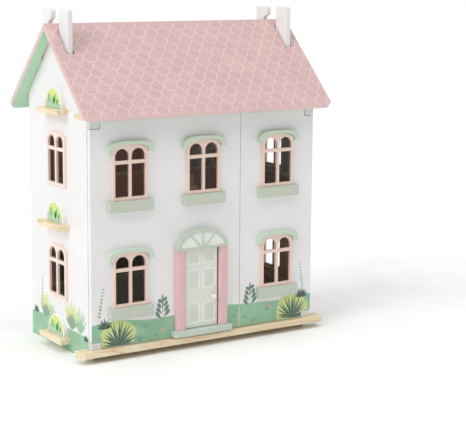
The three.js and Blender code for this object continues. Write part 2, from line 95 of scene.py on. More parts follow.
class Signal:
    """A shader value on which Python arithmetic adds Math nodes."""

    def __init__(self, shader: Shader, socket: bpy.types.NodeSocket) -> None:
        """Keeps the shader and the socket that gives the value."""
        self.shader = shader
        self.socket = socket

    def math(self, operation: str, *values: Signal | float, clamp: bool = False) -> Signal:
        """Adds one Math node.

        Args:
            operation: name of the Math node's operation.
            values: its inputs in order.
            clamp: whether the result stays between 0 and 1.

        Returns:
            The node's result.
        """
        settings = {"operation": operation, "use_clamp": clamp}
        made = self.shader.node("Math", settings, dict(enumerate(values)))
        return Signal(self.shader, made.outputs[0])

    def __add__(self, other: Signal | float) -> Signal:
        """Sum."""
        return self.math("ADD", self, other)

    def __radd__(self, other: float) -> Signal:
        """Sum with the number first."""
        return self.math("ADD", other, self)

    def __sub__(self, other: Signal | float) -> Signal:
        """Difference."""
        return self.math("SUBTRACT", self, other)

    def __rsub__(self, other: float) -> Signal:
        """Difference with the number first."""
        return self.math("SUBTRACT", other, self)

    def __mul__(self, other: Signal | float) -> Signal:
        """Product."""
        return self.math("MULTIPLY", self, other)

    def __rmul__(self, other: float) -> Signal:
        """Product with the number first."""
        return self.math("MULTIPLY", other, self)

    def __truediv__(self, other: Signal | float) -> Signal:
        """Quotient."""
        return self.math("DIVIDE", self, other)

    def __abs__(self) -> Signal:
        """Size without its sign."""
        return self.math("ABSOLUTE", self)

    def __mod__(self, pitch: float) -> Signal:
        """What is left over a whole number of pitches, never negative."""
        return self.math("FLOORED_MODULO", self, pitch)

    def floor(self) -> Signal:
        """Next whole number down."""
        return self.math("FLOOR", self)

    def root(self) -> Signal:
        """Square root."""
        return self.math("SQRT", self)

    def sine(self) -> Signal:
        """Sine of an angle in radians."""
        return self.math("SINE", self)

    def above(self, edge: Signal | float, soft: float) -> Signal:
        """Mask that is 1 above an edge.

        Args:
            edge: value at the middle of the change.
            soft: width of the change.

        Returns:
            A mask from 0 to 1.
        """
        return self.math("ADD", (self - edge) / soft, 0.5, clamp=True)

    def below(self, edge: Signal | float, soft: float) -> Signal:
        """Mask that is 1 below an edge, with a change of the given width."""
        return 1 - self.above(edge, soft)

    def near(self, middle: float, reach: float, soft: float) -> Signal:
        """Mask that is 1 within a reach of a value, with a change of the given width."""
        return abs(self - middle).below(reach, soft)


Value = Signal | bpy.types.NodeSocket | float | tuple | Vector


class Shader:
    """One material's node tree."""

    def __init__(self, name: str) -> None:
        """Starts an empty material of that name."""
        self.material = bpy.data.materials.new(name)
        self.material.use_nodes = True
        self.tree = self.material.node_tree
        self.tree.nodes.clear()

    def node(
        self, kind: str, settings: Mapping[str, Any] | None = None, sockets: Mapping[Any, Value] | None = None
    ) -> bpy.types.Node:
        """Adds any node.

        Args:
            kind: the node's type, without the word that all shader nodes start with.
            settings: its own properties, set first; "stops" holds a ramp's places and colours.
            sockets: value, signal or output for each input, by name or number.

        Returns:
            The new node.
        """
        made = self.tree.nodes.new("ShaderNode" + kind)
        for key, value in (settings or {}).items():
            if key == "stops":
                self._set_stops(made.color_ramp, value)
            else:
                setattr(made, key, value)
        for key, value in (sockets or {}).items():
            socket = made.inputs[key]
            if isinstance(value, Signal):
                self.tree.links.new(value.socket, socket)
            elif isinstance(value, bpy.types.NodeSocket):
                self.tree.links.new(value, socket)
            else:
                socket.default_value = value
        return made

    @staticmethod
    def _set_stops(ramp: bpy.types.ColorRamp, stops: Sequence[tuple[float, Colour]]) -> None:
        """Gives a colour ramp its stops.

        Args:
            ramp: the ramp, which starts with two stops.
            stops: place and colour of each stop, in order.
        """
        while len(ramp.elements) < len(stops):
            ramp.elements.new(1.0)
        for element, (place, colour) in zip(ramp.elements, stops):
            element.position = place
            element.color = colour

    def places(self) -> tuple[Signal, Signal, Signal]:
        """X, Y and Z on the piece at rest."""
        made = self.node("SeparateXYZ", None, {0: self.coordinates()})
        return tuple(Signal(self, made.outputs[i]) for i in range(3))

    def coordinates(self) -> bpy.types.NodeSocket:
        """The piece's own coordinates as one vector."""
        return self.node("TexCoord").outputs["Object"]

    def stretched(self, stretch: tuple[float, float, float]) -> bpy.types.NodeSocket:
        """The piece's own coordinates, each times a number."""
        made = self.node("VectorMath", {"operation": "MULTIPLY"}, {0: self.coordinates(), 1: stretch})
        return made.outputs[0]

    def noise(self, scale: float, detail: float = 2.0, vector: Value | None = None) -> Signal:
        """Soft noise between 0 and 1.

        Args:
            scale: lumps to the metre.
            detail: number of finer layers.
            vector: where it is read, or the piece's own coordinates.

        Returns:
            The noise.
        """
        place = self.coordinates() if vector is None else vector
        made = self.node("TexNoise", None, {"Vector": place, "Scale": scale, "Detail": detail})
        return Signal(self, made.outputs[0])

    def blend(self, share: Signal | float, low: Value, high: Value) -> bpy.types.NodeSocket:
        """Mixes two colours.

        Args:
            share: how much of the second colour.
            low: the colour where the share is 0.
            high: the colour where the share is 1.

        Returns:
            The mixed colour.
        """
        return self.node("Mix", {"data_type": "RGBA"}, {0: share, 6: low, 7: high}).outputs[2]

    def ramp(self, share: Signal, stops: Sequence[tuple[float, Colour]]) -> bpy.types.NodeSocket:
        """Colour ramp read at a signal."""
        return self.node("ValToRGB", {"stops": stops}, {0: share}).outputs[0]

    def surface(
        self, colour: Value, roughness: Signal | float, height: Signal,
        sheet: Mapping[str, Value] | None = None,
    ) -> bpy.types.Material:
        """Ends the tree in one shader.

        Args:
            colour: base colour.
            roughness: roughness from 0 to 1.
            height: relief in metres.
            sheet: values that are the same all over, by socket name.

        Returns:
            The finished material.
        """
        bump = self.node("Bump", None, {"Strength": 1.0, "Distance": 1.0, "Height": height})
        sockets = {"Base Color": colour, "Roughness": roughness, "Normal": bump.outputs[0], **(sheet or {})}
        shader = self.node("BsdfPrincipled", None, sockets)
        self.node("OutputMaterial", None, {0: shader.outputs[0]})
        return self.material


# ---------------------------------------------------------------- finishes


class Axis(Enum):
    """One of the three directions, by its number."""

    X = 0
    Y = 1
    Z = 2


@dataclass(frozen=True)
class Paint:
    """Sprayed satin paint on wood, with a faint grain under it."""

    colour: str
    roughness: float = 0.5
    wear: float = 0.0
    worn: str = "#d9c19c"
    skin: float = 0.000012

    def over(self, shader: Shader, colour: Value) -> bpy.types.Material:
        """Puts this paint's unevenness over any colour.

        Args:
            shader: the tree to end.
            colour: colour of the paint or print.

        Returns:
            The finished material.
        """
        cloud = shader.noise(9.0, 3.0)
        shade = shader.blend(0.07, colour, (0.25, 0.22, 0.20, 1.0))
        mottled = shader.blend(cloud.above(0.52, 0.4), colour, shade)
        if self.wear:
            rubbed = shader.noise(55.0, 4.0).above(1.0 - self.wear, 0.12)
            mottled = shader.blend(rubbed, mottled, tint(self.worn))
        fibre = shader.noise(60.0, 3.0, shader.stretched((1.0, 1.0, 0.12)))
        peel = shader.noise(1500.0, 2.0)
        roughness = self.roughness - 0.06 + 0.12 * shader.noise(70.0, 3.0)
        return shader.surface(mottled, roughness, peel * self.skin + fibre * (2 * self.skin))

    def material(self, name: str) -> bpy.types.Material:
        """The paint in its one colour."""
        return self.over(Shader(name), tint(self.colour))


@dataclass(frozen=True)
class Wood:
    """Clear-lacquered pale wood with streaks and fibres along one axis."""

    along: Axis
    light: str = "#f6e8cc"
    middle: str = "#ecd8b4"
    dark: str = "#d5b88c"
    roughness: float = 0.55

    def material(self, name: str) -> bpy.types.Material:
        """The wood.

        Args:
            name: the material's name.

        Returns:
            The finished material.
        """
        shader = Shader(name)
        broad = [38.0, 38.0, 38.0]
        broad[self.along.value] = 3.2
        fine = [420.0, 420.0, 420.0]
        fine[self.along.value] = 9.0
        figure = shader.node(
            "TexNoise", None,
            {"Vector": shader.stretched(tuple(broad)), "Scale": 1.0, "Detail": 5.0, "Distortion": 0.7},
        )
        rings = (Signal(shader, figure.outputs[0]) * 7.0) % 1.0
        ring = abs(rings - 0.5) * 2
        colour = shader.ramp(
            ring, [(0.0, tint(self.dark)), (0.28, tint(self.middle)), (1.0, tint(self.light))]
        )
        fibres = shader.noise(1.0, 3.0, shader.stretched(tuple(fine)))
        pores = fibres.below(0.40, 0.12)
        grained = shader.blend(pores * 0.45, colour, tint(self.dark))
        patch = shader.noise(5.0, 2.0)
        warm = shader.blend(patch.above(0.5, 0.5) * 0.35, grained, tint(self.middle))
        roughness = self.roughness + 0.1 * fibres - 0.05 * ring
        return shader.surface(warm, roughness, fibres * 0.00004)


class Pattern(Enum):
    """What is printed on a wallpaper."""

    STRIPES = 1
    TILES = 2
    DOTS = 3


@dataclass(frozen=True)
class Wallpaper:
    """Wallpaper of one storey, over a plain dado with a white rail."""

    pattern: Pattern
    paper: str
    figure: str
    dado: str
    pitch: float
    share: float = 0.5
    dado_top: float = 0.055
    rail: float = 0.006
    white: str = "#f0efec"

    def mask(self, along: Signal, height: Signal) -> Signal:
        """Where the figure is printed.

        Args:
            along: place along the wall.
            height: place up the wall.

        Returns:
            A mask from 0 to 1.
        """
        column = (along / self.pitch) % 1.0
        row = (height / self.pitch) % 1.0
        if self.pattern is Pattern.STRIPES:
            return abs(column - 0.5).below(self.share / 2, 0.05)
        if self.pattern is Pattern.TILES:
            upright = abs(column - 0.5).below(self.share / 2, 0.02)
            level = abs(row - 0.5).below(self.share / 2, 0.02)
            return upright.math("MAXIMUM", upright, level)
        reach = ((column - 0.5) * (column - 0.5) + (row - 0.5) * (row - 0.5)).root()
        return reach.below(self.share / 2, 0.06)

    def colour(self, shader: Shader, along: Signal, height: Signal) -> bpy.types.NodeSocket:
        """The printed colour.

        Args:
            shader: the tree that it goes into.
            along: place along the wall.
            height: height over the storey's floor.

        Returns:
            The colour.
        """
        papered = shader.blend(self.mask(along, height), tint(self.paper), tint(self.figure))
        with_dado = shader.blend(height.below(self.dado_top, PRINT_EDGE), papered, tint(self.dado))
        rail = height.near(self.dado_top, self.rail / 2, PRINT_EDGE)
        return shader.blend(rail, with_dado, tint(self.white))


@dataclass(frozen=True)
class Storeys:
    """Wallpapers of the two storeys on one half of the house, and the white above them."""

    lower: Wallpaper
    upper: Wallpaper
    under_floor: float = 0.005
    band_middle: float = 0.008
    band_half: float = 0.010
    under_attic: float = 0.016

    def colour(self, shader: Shader, along: Signal, z: Signal, floors: tuple[float, float, float]) -> Value:
        """The colour at any height.

        Args:
            shader: the tree that it goes into.
            along: place along the wall.
            z: height in the house.
            floors: heights of the ground floor, the upper floor and the attic floor.

        Returns:
            The colour.
        """
        ground, middle, attic = floors
        low = self.lower.colour(shader, along, z - ground)
        high = self.upper.colour(shader, along, z - middle)
        papered = shader.blend(z.above(middle - self.under_floor, PRINT_EDGE), low, high)
        band = z.near(middle - self.band_middle, self.band_half, PRINT_EDGE)
        banded = shader.blend(band, papered, tint(self.lower.white))
        return shader.blend(z.above(attic - self.under_attic, PRINT_EDGE), banded, tint(self.lower.white))


@dataclass(frozen=True)
class PrintedBoard:
    """White board with a lawn printed low on its outer face and wallpapers on its inner face."""

    thickness: Axis
    outer: float
    inner: float
    floors: tuple[float, float, float]
    left: Storeys
    right: Storeys
    lawn_top: float | None = None
    lawn_wave: float = 0.003
    lawn: str = "#a0cbac"
    lawn_deep: str = "#8cba9a"
    skin: float = 0.3 * MM
    paint: Paint = Paint("#efeeee", 0.52)

    def material(self, name: str) -> bpy.types.Material:
        """The board's finish.

        Args:
            name: the material's name.

        Returns:
            The finished material.
        """
        shader = Shader(name)
        x, y, z = shader.places()
        through, along = (x, y) if self.thickness is Axis.X else (y, x)
        left = self.left.colour(shader, along, z, self.floors)
        if self.left is self.right:
            paper = left
        else:
            right = self.right.colour(shader, along, z, self.floors)
            paper = shader.blend(x.above(0.0, PRINT_EDGE), left, right)
        colour = shader.blend(through.near(self.inner, self.skin, SKIN_EDGE), tint(self.paint.colour), paper)
        if self.lawn_top is not None:
            wave = (along * 26.0 + 0.6).sine() * self.lawn_wave + (along * 61.0).sine() * (self.lawn_wave / 3)
            edge = wave + self.lawn_top
            wash = shader.noise(28.0, 4.0).above(0.5, 0.35)
            lawn = shader.blend(wash, tint(self.lawn), tint(self.lawn_deep))
            outside = through.near(self.outer, self.skin, SKIN_EDGE)
            colour = shader.blend(z.below(edge, 0.0005) * outside, colour, lawn)
        return self.paint.over(shader, colour)


@dataclass(frozen=True)
class RoofBoard:
    """Roof board with fish scales printed outside and a lawn inside."""

    ridge: float
    thick: float
    scale_width: float = 0.0268
    row_pitch: float = 0.0183
    first_row: float = 0.004
    line: float = 0.034
    pink: str = "#d6b3b1"
    grey_pink: str = "#cdacaa"
    line_pink: str = "#ecd3d0"
    edge: str = "#e2c3c1"
    lawn: str = "#b4dbb9"
    skin: float = 0.4 * MM
    paint: Paint = Paint("#ddb9b8", 0.5)

    def material(self, name: str) -> bpy.types.Material:
        """The board's finish.

        Args:
            name: the material's name.

        Returns:
            The finished material.
        """
        shader = Shader(name)
        x, y, z = shader.places()
        down = (self.ridge - z) * math.sqrt(2) - self.first_row
        rows = down / self.row_pitch
        row = rows.floor()
        columns = x / self.scale_width + (row % 2.0) * 0.5
        across = (columns % 1.0 - 0.5) * 2
        fall = rows - row
        reach = (across * across + fall * fall).root()
        outline = abs(reach - 1.0).below(self.line, 0.05) * down.above(0.0, PRINT_EDGE)
        wash = shader.noise(34.0, 3.0).above(0.5, 0.3)
        tile = shader.blend(wash, tint(self.pink), tint(self.grey_pink))
        scales = shader.blend(outline, tile, tint(self.line_pink))
        depth = (self.ridge - abs(y) - z) / math.sqrt(2)
        outside = shader.blend(depth.below(self.skin, SKIN_EDGE), tint(self.edge), scales)
        inside = shader.blend(depth.above(self.thick - self.skin, SKIN_EDGE), outside, tint(self.lawn))
        return self.paint.over(shader, inside)


@dataclass(frozen=True)
class Plastic:
    """Moulded plastic with a fine spark texture."""

    colour: str
    roughness: float = 0.42

    def material(self, name: str) -> bpy.types.Material:
        """The plastic.

        Args:
            name: the material's name.

        Returns:
            The finished material.
        """
        shader = Shader(name)
        spark = shader.noise(2600.0, 2.0)
        flow = shader.noise(30.0, 2.0)
        colour = shader.blend(flow * 0.2, tint(self.colour), (0.35, 0.36, 0.36, 1.0))
        return shader.surface(colour, self.roughness + 0.1 * spark, spark * 0.00001)


@dataclass(frozen=True)
class Steel:
    """Rolled steel strip, brushed along one axis."""

    colour: str = "#c3c6ca"

    def material(self, name: str) -> bpy.types.Material:
        """The steel.

        Args:
            name: the material's name.

        Returns:
            The finished material.
        """
        shader = Shader(name)
        brush = shader.noise(1.0, 3.0, shader.stretched((300.0, 300.0, 9000.0)))
        colour = shader.blend(brush * 0.25, tint(self.colour), (0.30, 0.30, 0.31, 1.0))
        return shader.surface(colour, 0.26 + 0.2 * brush, brush * 0.000004, {"Metallic": 1.0})


class Ink(Enum):
    """Printing inks of the garden and the rooms."""

    HALO = "#d3e096"
    LIME = "#dbe48d"
    AGAVE = "#64856f"
    AGAVE_LIGHT = "#8ba88f"
    FERN = "#4b655b"
    CACTUS = "#6f8c7c"
    SPRIG = "#8fa08e"
    TUFT = "#7cae93"
    PALE = "#b7d6bb"
    PALE_DEEP = "#9cc3a6"
    LEAF = "#4fae63"
    ORANGE = "#e2b88c"
    BLOSSOM = "#dccbbd"
    WHITE = "#f1f2ec"
    GREY = "#8e918d"
    SLATE = "#5d6764"
    SALMON = "#e9a99b"
    BLUSH = "#e9cfcb"
    TIMBER = "#cfae82"
    LIGHT = "#edf0ea"
    PANEL = "#d9ddd4"

    def material(self) -> bpy.types.Material:
        """The ink's material, made once."""
        name = "ink_" + self.name.lower()
        known = bpy.data.materials.get(name)
        return known or Paint(self.value, 0.55, skin=0.000006).material(name)


# ---------------------------------------------------------------- outlines and meshes


@dataclass(frozen=True)
class Plane:
    """A flat face to build on: a place on it, its two directions and the way out of it."""

    origin: Vector
    across: Vector
    up: Vector
    out: Vector

    def at(self, a: float, b: float, d: float = 0.0) -> Vector:
        """Place at a across, b up and d out."""
        return self.origin + self.across * a + self.up * b + self.out * d

    def raised(self, d: float) -> Plane:
        """The same plane, moved out by d."""
        return Plane(self.at(0.0, 0.0, d), self.across, self.up, self.out)

    def span(self, node: str) -> tuple[float, float, float, float, float]:
        """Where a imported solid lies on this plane.

        Args:
            node: name of the solid.

        Returns:
            Its limits across, its limits up, and how far it stands out.
        """
        low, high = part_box(node)
        ends = [corner - self.origin for corner in (low, high)]
        across, up, out = ([end.dot(way) for end in ends] for way in (self.across, self.up, self.out))
        return min(across), max(across), min(up), max(up), max(out)


X_WAY, Y_WAY, Z_WAY = Vector((1, 0, 0)), Vector((0, 1, 0)), Vector((0, 0, 1))


def facing_front(y: float) -> Plane:
    """Plane that faces the front at a depth."""
    return Plane(Vector((0, y, 0)), X_WAY, Z_WAY, -Y_WAY)


def facing_side(x: float, sign: int) -> Plane:
    """Plane on a side wall that faces left for -1 and right for 1."""
    return Plane(Vector((x, 0, 0)), Y_WAY, Z_WAY, X_WAY * sign)


def facing_up(z: float) -> Plane:
    """Level plane at a height."""
    return Plane(Vector((0, 0, z)), X_WAY, Y_WAY, Z_WAY)


def arc(middle: Point, radii: Point, start: float, end: float, steps: int) -> Loop:
    """Part of an ellipse.

    Args:
        middle: its centre.
        radii: its half width and half height.
        start: angle of the first point, in degrees.
        end: angle of the last point, in degrees.
        steps: number of chords.

    Returns:
        The points, both ends included.
    """
    turns = [math.radians(start + (end - start) * i / steps) for i in range(steps + 1)]
    return [(middle[0] + radii[0] * math.cos(t), middle[1] + radii[1] * math.sin(t)) for t in turns]


def rectangle(a0: float, a1: float, b0: float, b1: float, round_by: float = 0.0) -> Loop:
    """Rectangle, with rounded corners if a radius is given.

    Args:
        a0: left side.
        a1: right side.
        b0: lower side.
        b1: upper side.
        round_by: corner radius.

    Returns:
        The outline, anticlockwise.
    """
    if not round_by:
        return [(a0, b0), (a1, b0), (a1, b1), (a0, b1)]
    r = round_by
    corners = [(a1 - r, b0 + r, -90), (a1 - r, b1 - r, 0), (a0 + r, b1 - r, 90), (a0 + r, b0 + r, 180)]
    return [point for a, b, start in corners for point in arc((a, b), (r, r), start, start + 90, 5)]


def headed(middle: float, half: float, foot: float, shoulder: float, rise: float, steps: int = 32) -> Loop:
    """Outline with a flat foot, upright sides and an elliptical head.

    Args:
        middle: centre line.
        half: half width.
        foot: height of the foot.
        shoulder: height where the head begins.
        rise: height of the head.
        steps: number of chords in the head.

    Returns:
        The outline, anticlockwise.
    """
    head = arc((middle, shoulder), (half, rise), 0, 180, steps)
    return [(middle - half, foot), (middle + half, foot)] + head


def flat_arch(middle: Point, half: float, rise: float, steps: int = 40, power: float = 2.6) -> Loop:
    """Flattened arch, a superellipse.

    Args:
        middle: centre of its foot line.
        half: half width.
        rise: its height.
        steps: number of chords.
        power: 2 for an ellipse, more for fuller shoulders.

    Returns:
        The points from the right foot to the left one.
    """
    loop = []
    for a, b in arc((0.0, 0.0), (1.0, 1.0), 0, 180, steps):
        across = math.copysign(abs(a) ** (2 / power), a)
        loop.append((middle[0] + half * across, middle[1] + rise * abs(b) ** (2 / power)))
    return loop


def area(loop: Loop) -> float:
    """Area of an outline, positive if it runs anticlockwise."""
    pairs = zip(loop, loop[1:] + loop[:1])
    return sum(a[0] * b[1] - b[0] * a[1] for a, b in pairs) / 2


def turned_way(loop: Loop, anticlockwise: bool) -> Loop:
    """The outline in the wanted direction."""
    return loop if (area(loop) > 0) is anticlockwise else loop[::-1]


def inset(loop: Loop, by: float) -> Loop:
    """Outline moved to its left, which is into the material, with mitred corners.

    Args:
        loop: the outline.
        by: how far.

    Returns:
        The moved outline.
    """
    moved = []
    for i, (a, b) in enumerate(loop):
        before, after = loop[i - 1], loop[(i + 1) % len(loop)]
        first = Vector((a - before[0], b - before[1])).normalized()
        second = Vector((after[0] - a, after[1] - b)).normalized()
        lean = Vector((-first.y - second.y, first.x + second.x)) / max(1 + first.dot(second), 0.2)
        moved.append((a + lean.x * by, b + lean.y * by))
    return moved


def clipped(loop: Loop, window: tuple[float, float, float, float]) -> Loop:
    """The part of an outline that lies in a rectangle.

    Args:
        loop: the outline.
        window: the rectangle's limits across and up.

    Returns:
        The outline that is left, which may be empty.
    """
    for way, limit, sign in ((0, window[0], 1), (0, window[1], -1), (1, window[2], 1), (1, window[3], -1)):
        kept: Loop = []
        for i, here in enumerate(loop):
            before = loop[i - 1]
            far, near = sign * (before[way] - limit), sign * (here[way] - limit)
            if (far < 0) != (near < 0):
                share = far / (far - near)
                kept.append(tuple(p + (q - p) * share for p, q in zip(before, here)))
            if near >= 0:
                kept.append(here)
        loop = kept
    return loop


class Stock:
    """Vertices and faces of one piece while it is being built."""

    def __init__(self) -> None:
        """Starts with nothing."""
        self.points: list[Vector] = []
        self.faces: list[tuple[int, ...]] = []
        self.slots: list[int] = []

    def add(self, points: Iterable[Vector], faces: Iterable[tuple[int, ...]], slot: int = 0) -> None:
        """Adds one closed body.

        Args:
            points: its vertices.
            faces: its faces, counted from its own first vertex.
            slot: material slot of its faces.
        """
        start = len(self.points)
        self.points.extend(points)
        for face in faces:
            self.faces.append(tuple(start + i for i in face))
            self.slots.append(slot)

    def plate(
        self, plane: Plane, outline: Loop, holes: Sequence[Loop], depth: float, soft: float,
        back_soft: float = 0.0, slot: int = 0,
    ) -> None:
        """Adds a plate with rounded edges.

        Args:
            plane: face that it stands on.
            outline: its outer edge.
            holes: openings through it.
            depth: its thickness.
            soft: radius of its front edges.
            back_soft: radius of its back edges.
            slot: material slot.
        """
        loops = [turned_way(outline, True)] + [turned_way(hole, False) for hole in holes]
        steps = 4
        turns = [math.pi / 2 * i / steps for i in range(steps + 1)]
        rings = [(soft * (1 - math.cos(t)), depth - soft + soft * math.sin(t)) for t in turns]
        if back_soft:
            back = [(back_soft * (1 - math.sin(t)), back_soft * (1 - math.cos(t))) for t in turns]
            rings = back + rings
        else:
            rings = [(0.0, 0.0)] + rings
        points = [plane.at(a, b, out) for by, out in rings for loop in loops for a, b in inset(loop, by)]
        count = sum(len(loop) for loop in loops)
        faces = []
        for ring in range(len(rings) - 1):
            first = 0
            for loop in loops:
                size = len(loop)
                for i in range(size):
                    here, there = first + i, first + (i + 1) % size
                    low, high = ring * count, (ring + 1) * count
                    faces.append((low + here, low + there, high + there, high + here))
                first += size
        for ring in (0, len(rings) - 1):
            cut = [[Vector((a, b, 0)) for a, b in inset(loop, rings[ring][0])] for loop in loops]
            faces += [tuple(ring * count + i for i in triangle) for triangle in tessellate_polygon(cut)]
        self.add(points, faces, slot)

    def turned(self, plane: Plane, middle: Point, profile: Loop, steps: int = 40) -> None:
        """Adds a turned body on an axis that points out of a plane.

        Args:
            plane: the plane.
            middle: where the axis meets it.
            profile: radius and height pairs; the first and the last lie on the axis.
            steps: number of sides.
        """
        inner = profile[1:-1]
        points = [plane.at(*middle, profile[0][1])]
        for radius, out in inner:
            for i in range(steps):
                turn = math.tau * i / steps
                points.append(
                    plane.at(middle[0] + radius * math.cos(turn), middle[1] + radius * math.sin(turn), out)
                )
        points.append(plane.at(*middle, profile[-1][1]))
        last = len(points) - 1
        faces = []
        for i in range(steps):
            j = (i + 1) % steps
            faces.append((0, 1 + j, 1 + i))
            for ring in range(len(inner) - 1):
                low, high = 1 + ring * steps, 1 + (ring + 1) * steps
                faces.append((low + i, low + j, high + j, high + i))
            top = 1 + (len(inner) - 1) * steps
            faces.append((top + i, top + j, last))
        self.add(points, faces)

    def piece(self, name: str, materials: Sequence[bpy.types.Material]) -> bpy.types.Object:
        """Makes the object.

        Args:
            name: its name.
            materials: its material slots.

        Returns:
            The object, in the scene.
        """
        mesh = bpy.data.meshes.new(name)
        mesh.from_pydata(self.points, [], self.faces)
        mesh.polygons.foreach_set("material_index", self.slots)
        work = bmesh.new()
        work.from_mesh(mesh)
        bmesh.ops.recalc_face_normals(work, faces=work.faces)
        return closed_object(name, mesh, work, materials)


def closed_object(
    name: str, mesh: bpy.types.Mesh, work: bmesh.types.BMesh, materials: Sequence[bpy.types.Material]
) -> bpy.types.Object:
    """Writes a worked mesh back and makes a smoothly shaded object of it.

    Args:
        name: the object's name.
        mesh: the mesh to fill.
        work: the mesh as worked, which is freed.
        materials: its material slots.

    Returns:
        The object, in the scene.
    """
    work.to_mesh(mesh)
    work.free()
    mesh.shade_smooth()
    mesh.set_sharp_from_angle(angle=math.radians(40))
    for material in materials:
        mesh.materials.append(material)
    made = bpy.data.objects.new(name, mesh)
    bpy.context.scene.collection.objects.link(made)
    weighted = made.modifiers.new("even_shading", "WEIGHTED_NORMAL")
    weighted.keep_sharp = True
    return made


BODY_OF = {node: body for body, nodes in frame["record"]["behaviour"]["bodies"].items() for node in nodes}


def rides_like(made: bpy.types.Object, node: str) -> bpy.types.Object:
    """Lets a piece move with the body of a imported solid.

    Args:
        made: the piece.
        node: name of the solid.

    Returns:
        The piece.
    """
    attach(made, BODY_OF[node])
    LOG.info("%s rides on %s", made.name, BODY_OF[node])
    return made


def stands_for(made: bpy.types.Object, node: str) -> bpy.types.Object:
    """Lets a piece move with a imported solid's body and stand in its place."""
    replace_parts(rides_like(made, node), node)
    return made


def moulded(
    name: str, node: str, finish: bpy.types.Material, plane: Plane, outline: Loop, depth: float, soft: float,
    holes: Sequence[Loop] = (), back_soft: float = 0.0,
) -> bpy.types.Object:
    """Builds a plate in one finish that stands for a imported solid.

    Args:
        name: the piece's name.
        node: name of the solid.
        finish: its finish.
        plane: face that it stands on.
        outline: its outer edge.
        depth: its thickness.
        soft: radius of its front edges.
        holes: openings through it.
        back_soft: radius of its back edges.

    Returns:
        The piece.
    """
    stock = Stock()
    stock.plate(plane, outline, holes, depth, soft, back_soft)
    return stands_for(stock.piece(name, [finish]), node)


def softened(
    node: str, face: bpy.types.Material, edge: bpy.types.Material, soft: float,
    cut: bpy.types.Material | None = None, behind: Sequence[str] = (),
) -> bpy.types.Object:
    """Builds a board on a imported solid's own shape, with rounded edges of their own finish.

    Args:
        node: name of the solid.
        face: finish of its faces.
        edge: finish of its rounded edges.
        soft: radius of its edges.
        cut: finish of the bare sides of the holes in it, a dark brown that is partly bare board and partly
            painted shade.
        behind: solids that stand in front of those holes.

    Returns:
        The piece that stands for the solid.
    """
    low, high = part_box(node)
    thinnest = min(range(3), key=lambda way: high[way] - low[way])
    covers = [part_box(name) for name in behind]
    name = node + "_finished"
    mesh = bpy.data.meshes.new(name)
    work = bmesh.new()
    work.from_mesh(frame["nodes"][node].data)
    bmesh.ops.remove_doubles(work, verts=work.verts, dist=1e-5)
    bmesh.ops.dissolve_limit(work, angle_limit=math.radians(0.5), verts=work.verts, edges=work.edges)
    for facet in work.faces:
        place = facet.calc_center_median()
        # Sides of the holes behind the frames take the dark cut finish: bare board with painted shade.
        bare = abs(facet.normal[thinnest]) < 0.5 and any(
            all(start[way] < place[way] < end[way] for way in range(3) if way != thinnest)
            for start, end in covers
        )
        facet.material_index = 2 if bare else 0
    sharp = [e for e in work.edges if e.is_manifold and e.calc_face_angle(0.0) > math.radians(35)]
    bmesh.ops.bevel(
        work, geom=sharp, offset=soft, segments=3, profile=0.5, affect="EDGES", material=1,
        clamp_overlap=True,
    )
    finishes = (face, edge, cut) if cut else (face, edge)
    return stands_for(closed_object(name, mesh, work, finishes), node)


# ---------------------------------------------------------------- printed shapes


class PrintSheet:
    """Flat printed shapes on one face, each a film a few hundredths of a millimetre high."""

    LOW, HIGH, STEP = -0.02 * MM, 0.03 * MM, 0.0025 * MM

    def __init__(self, plane: Plane, windows: Sequence[tuple[float, float, float, float]]) -> None:
        """Starts an empty sheet.

        Args:
            plane: the printed face.
            windows: rectangles that the print stays in, each as its limits across and up.
        """
        self.plane = plane
        self.windows = windows
        self.stock = Stock()
        self.inks: list[Ink] = []
        self.level = 0

    def add(self, loop: Loop, ink: Ink) -> None:
        """Prints one shape over the ones before it.

        Args:
            loop: its outline.
            ink: its colour.
        """
        if ink not in self.inks:
            self.inks.append(ink)
        top = self.HIGH + self.STEP * self.level
        self.level += 1
        for window in self.windows:
            kept = clipped(loop, window)
            if len(kept) > 2:
                self._film(kept, top, self.inks.index(ink))

    def _film(self, loop: Loop, top: float, slot: int) -> None:
        """Adds one closed film.

        Args:
            loop: its outline.
            top: its height over the face.
            slot: its material slot.
        """
        size = len(loop)
        points = [self.plane.at(a, b, self.LOW) for a, b in loop]
        points += [self.plane.at(a, b, top) for a, b in loop]
        sides = [(i, (i + 1) % size, size + (i + 1) % size, size + i) for i in range(size)]
        caps = [tuple(range(size))[::-1], tuple(range(size, 2 * size))]
        self.stock.add(points, sides + caps, slot)

    def fresh(self) -> None:
        """Starts again at the lowest film, for shapes that lie clear of the ones before."""
        self.level = 0

    def build(self, name: str, node: str) -> bpy.types.Object:
        """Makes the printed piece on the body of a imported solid."""
        return rides_like(self.stock.piece(name, [ink.material() for ink in self.inks]), node)


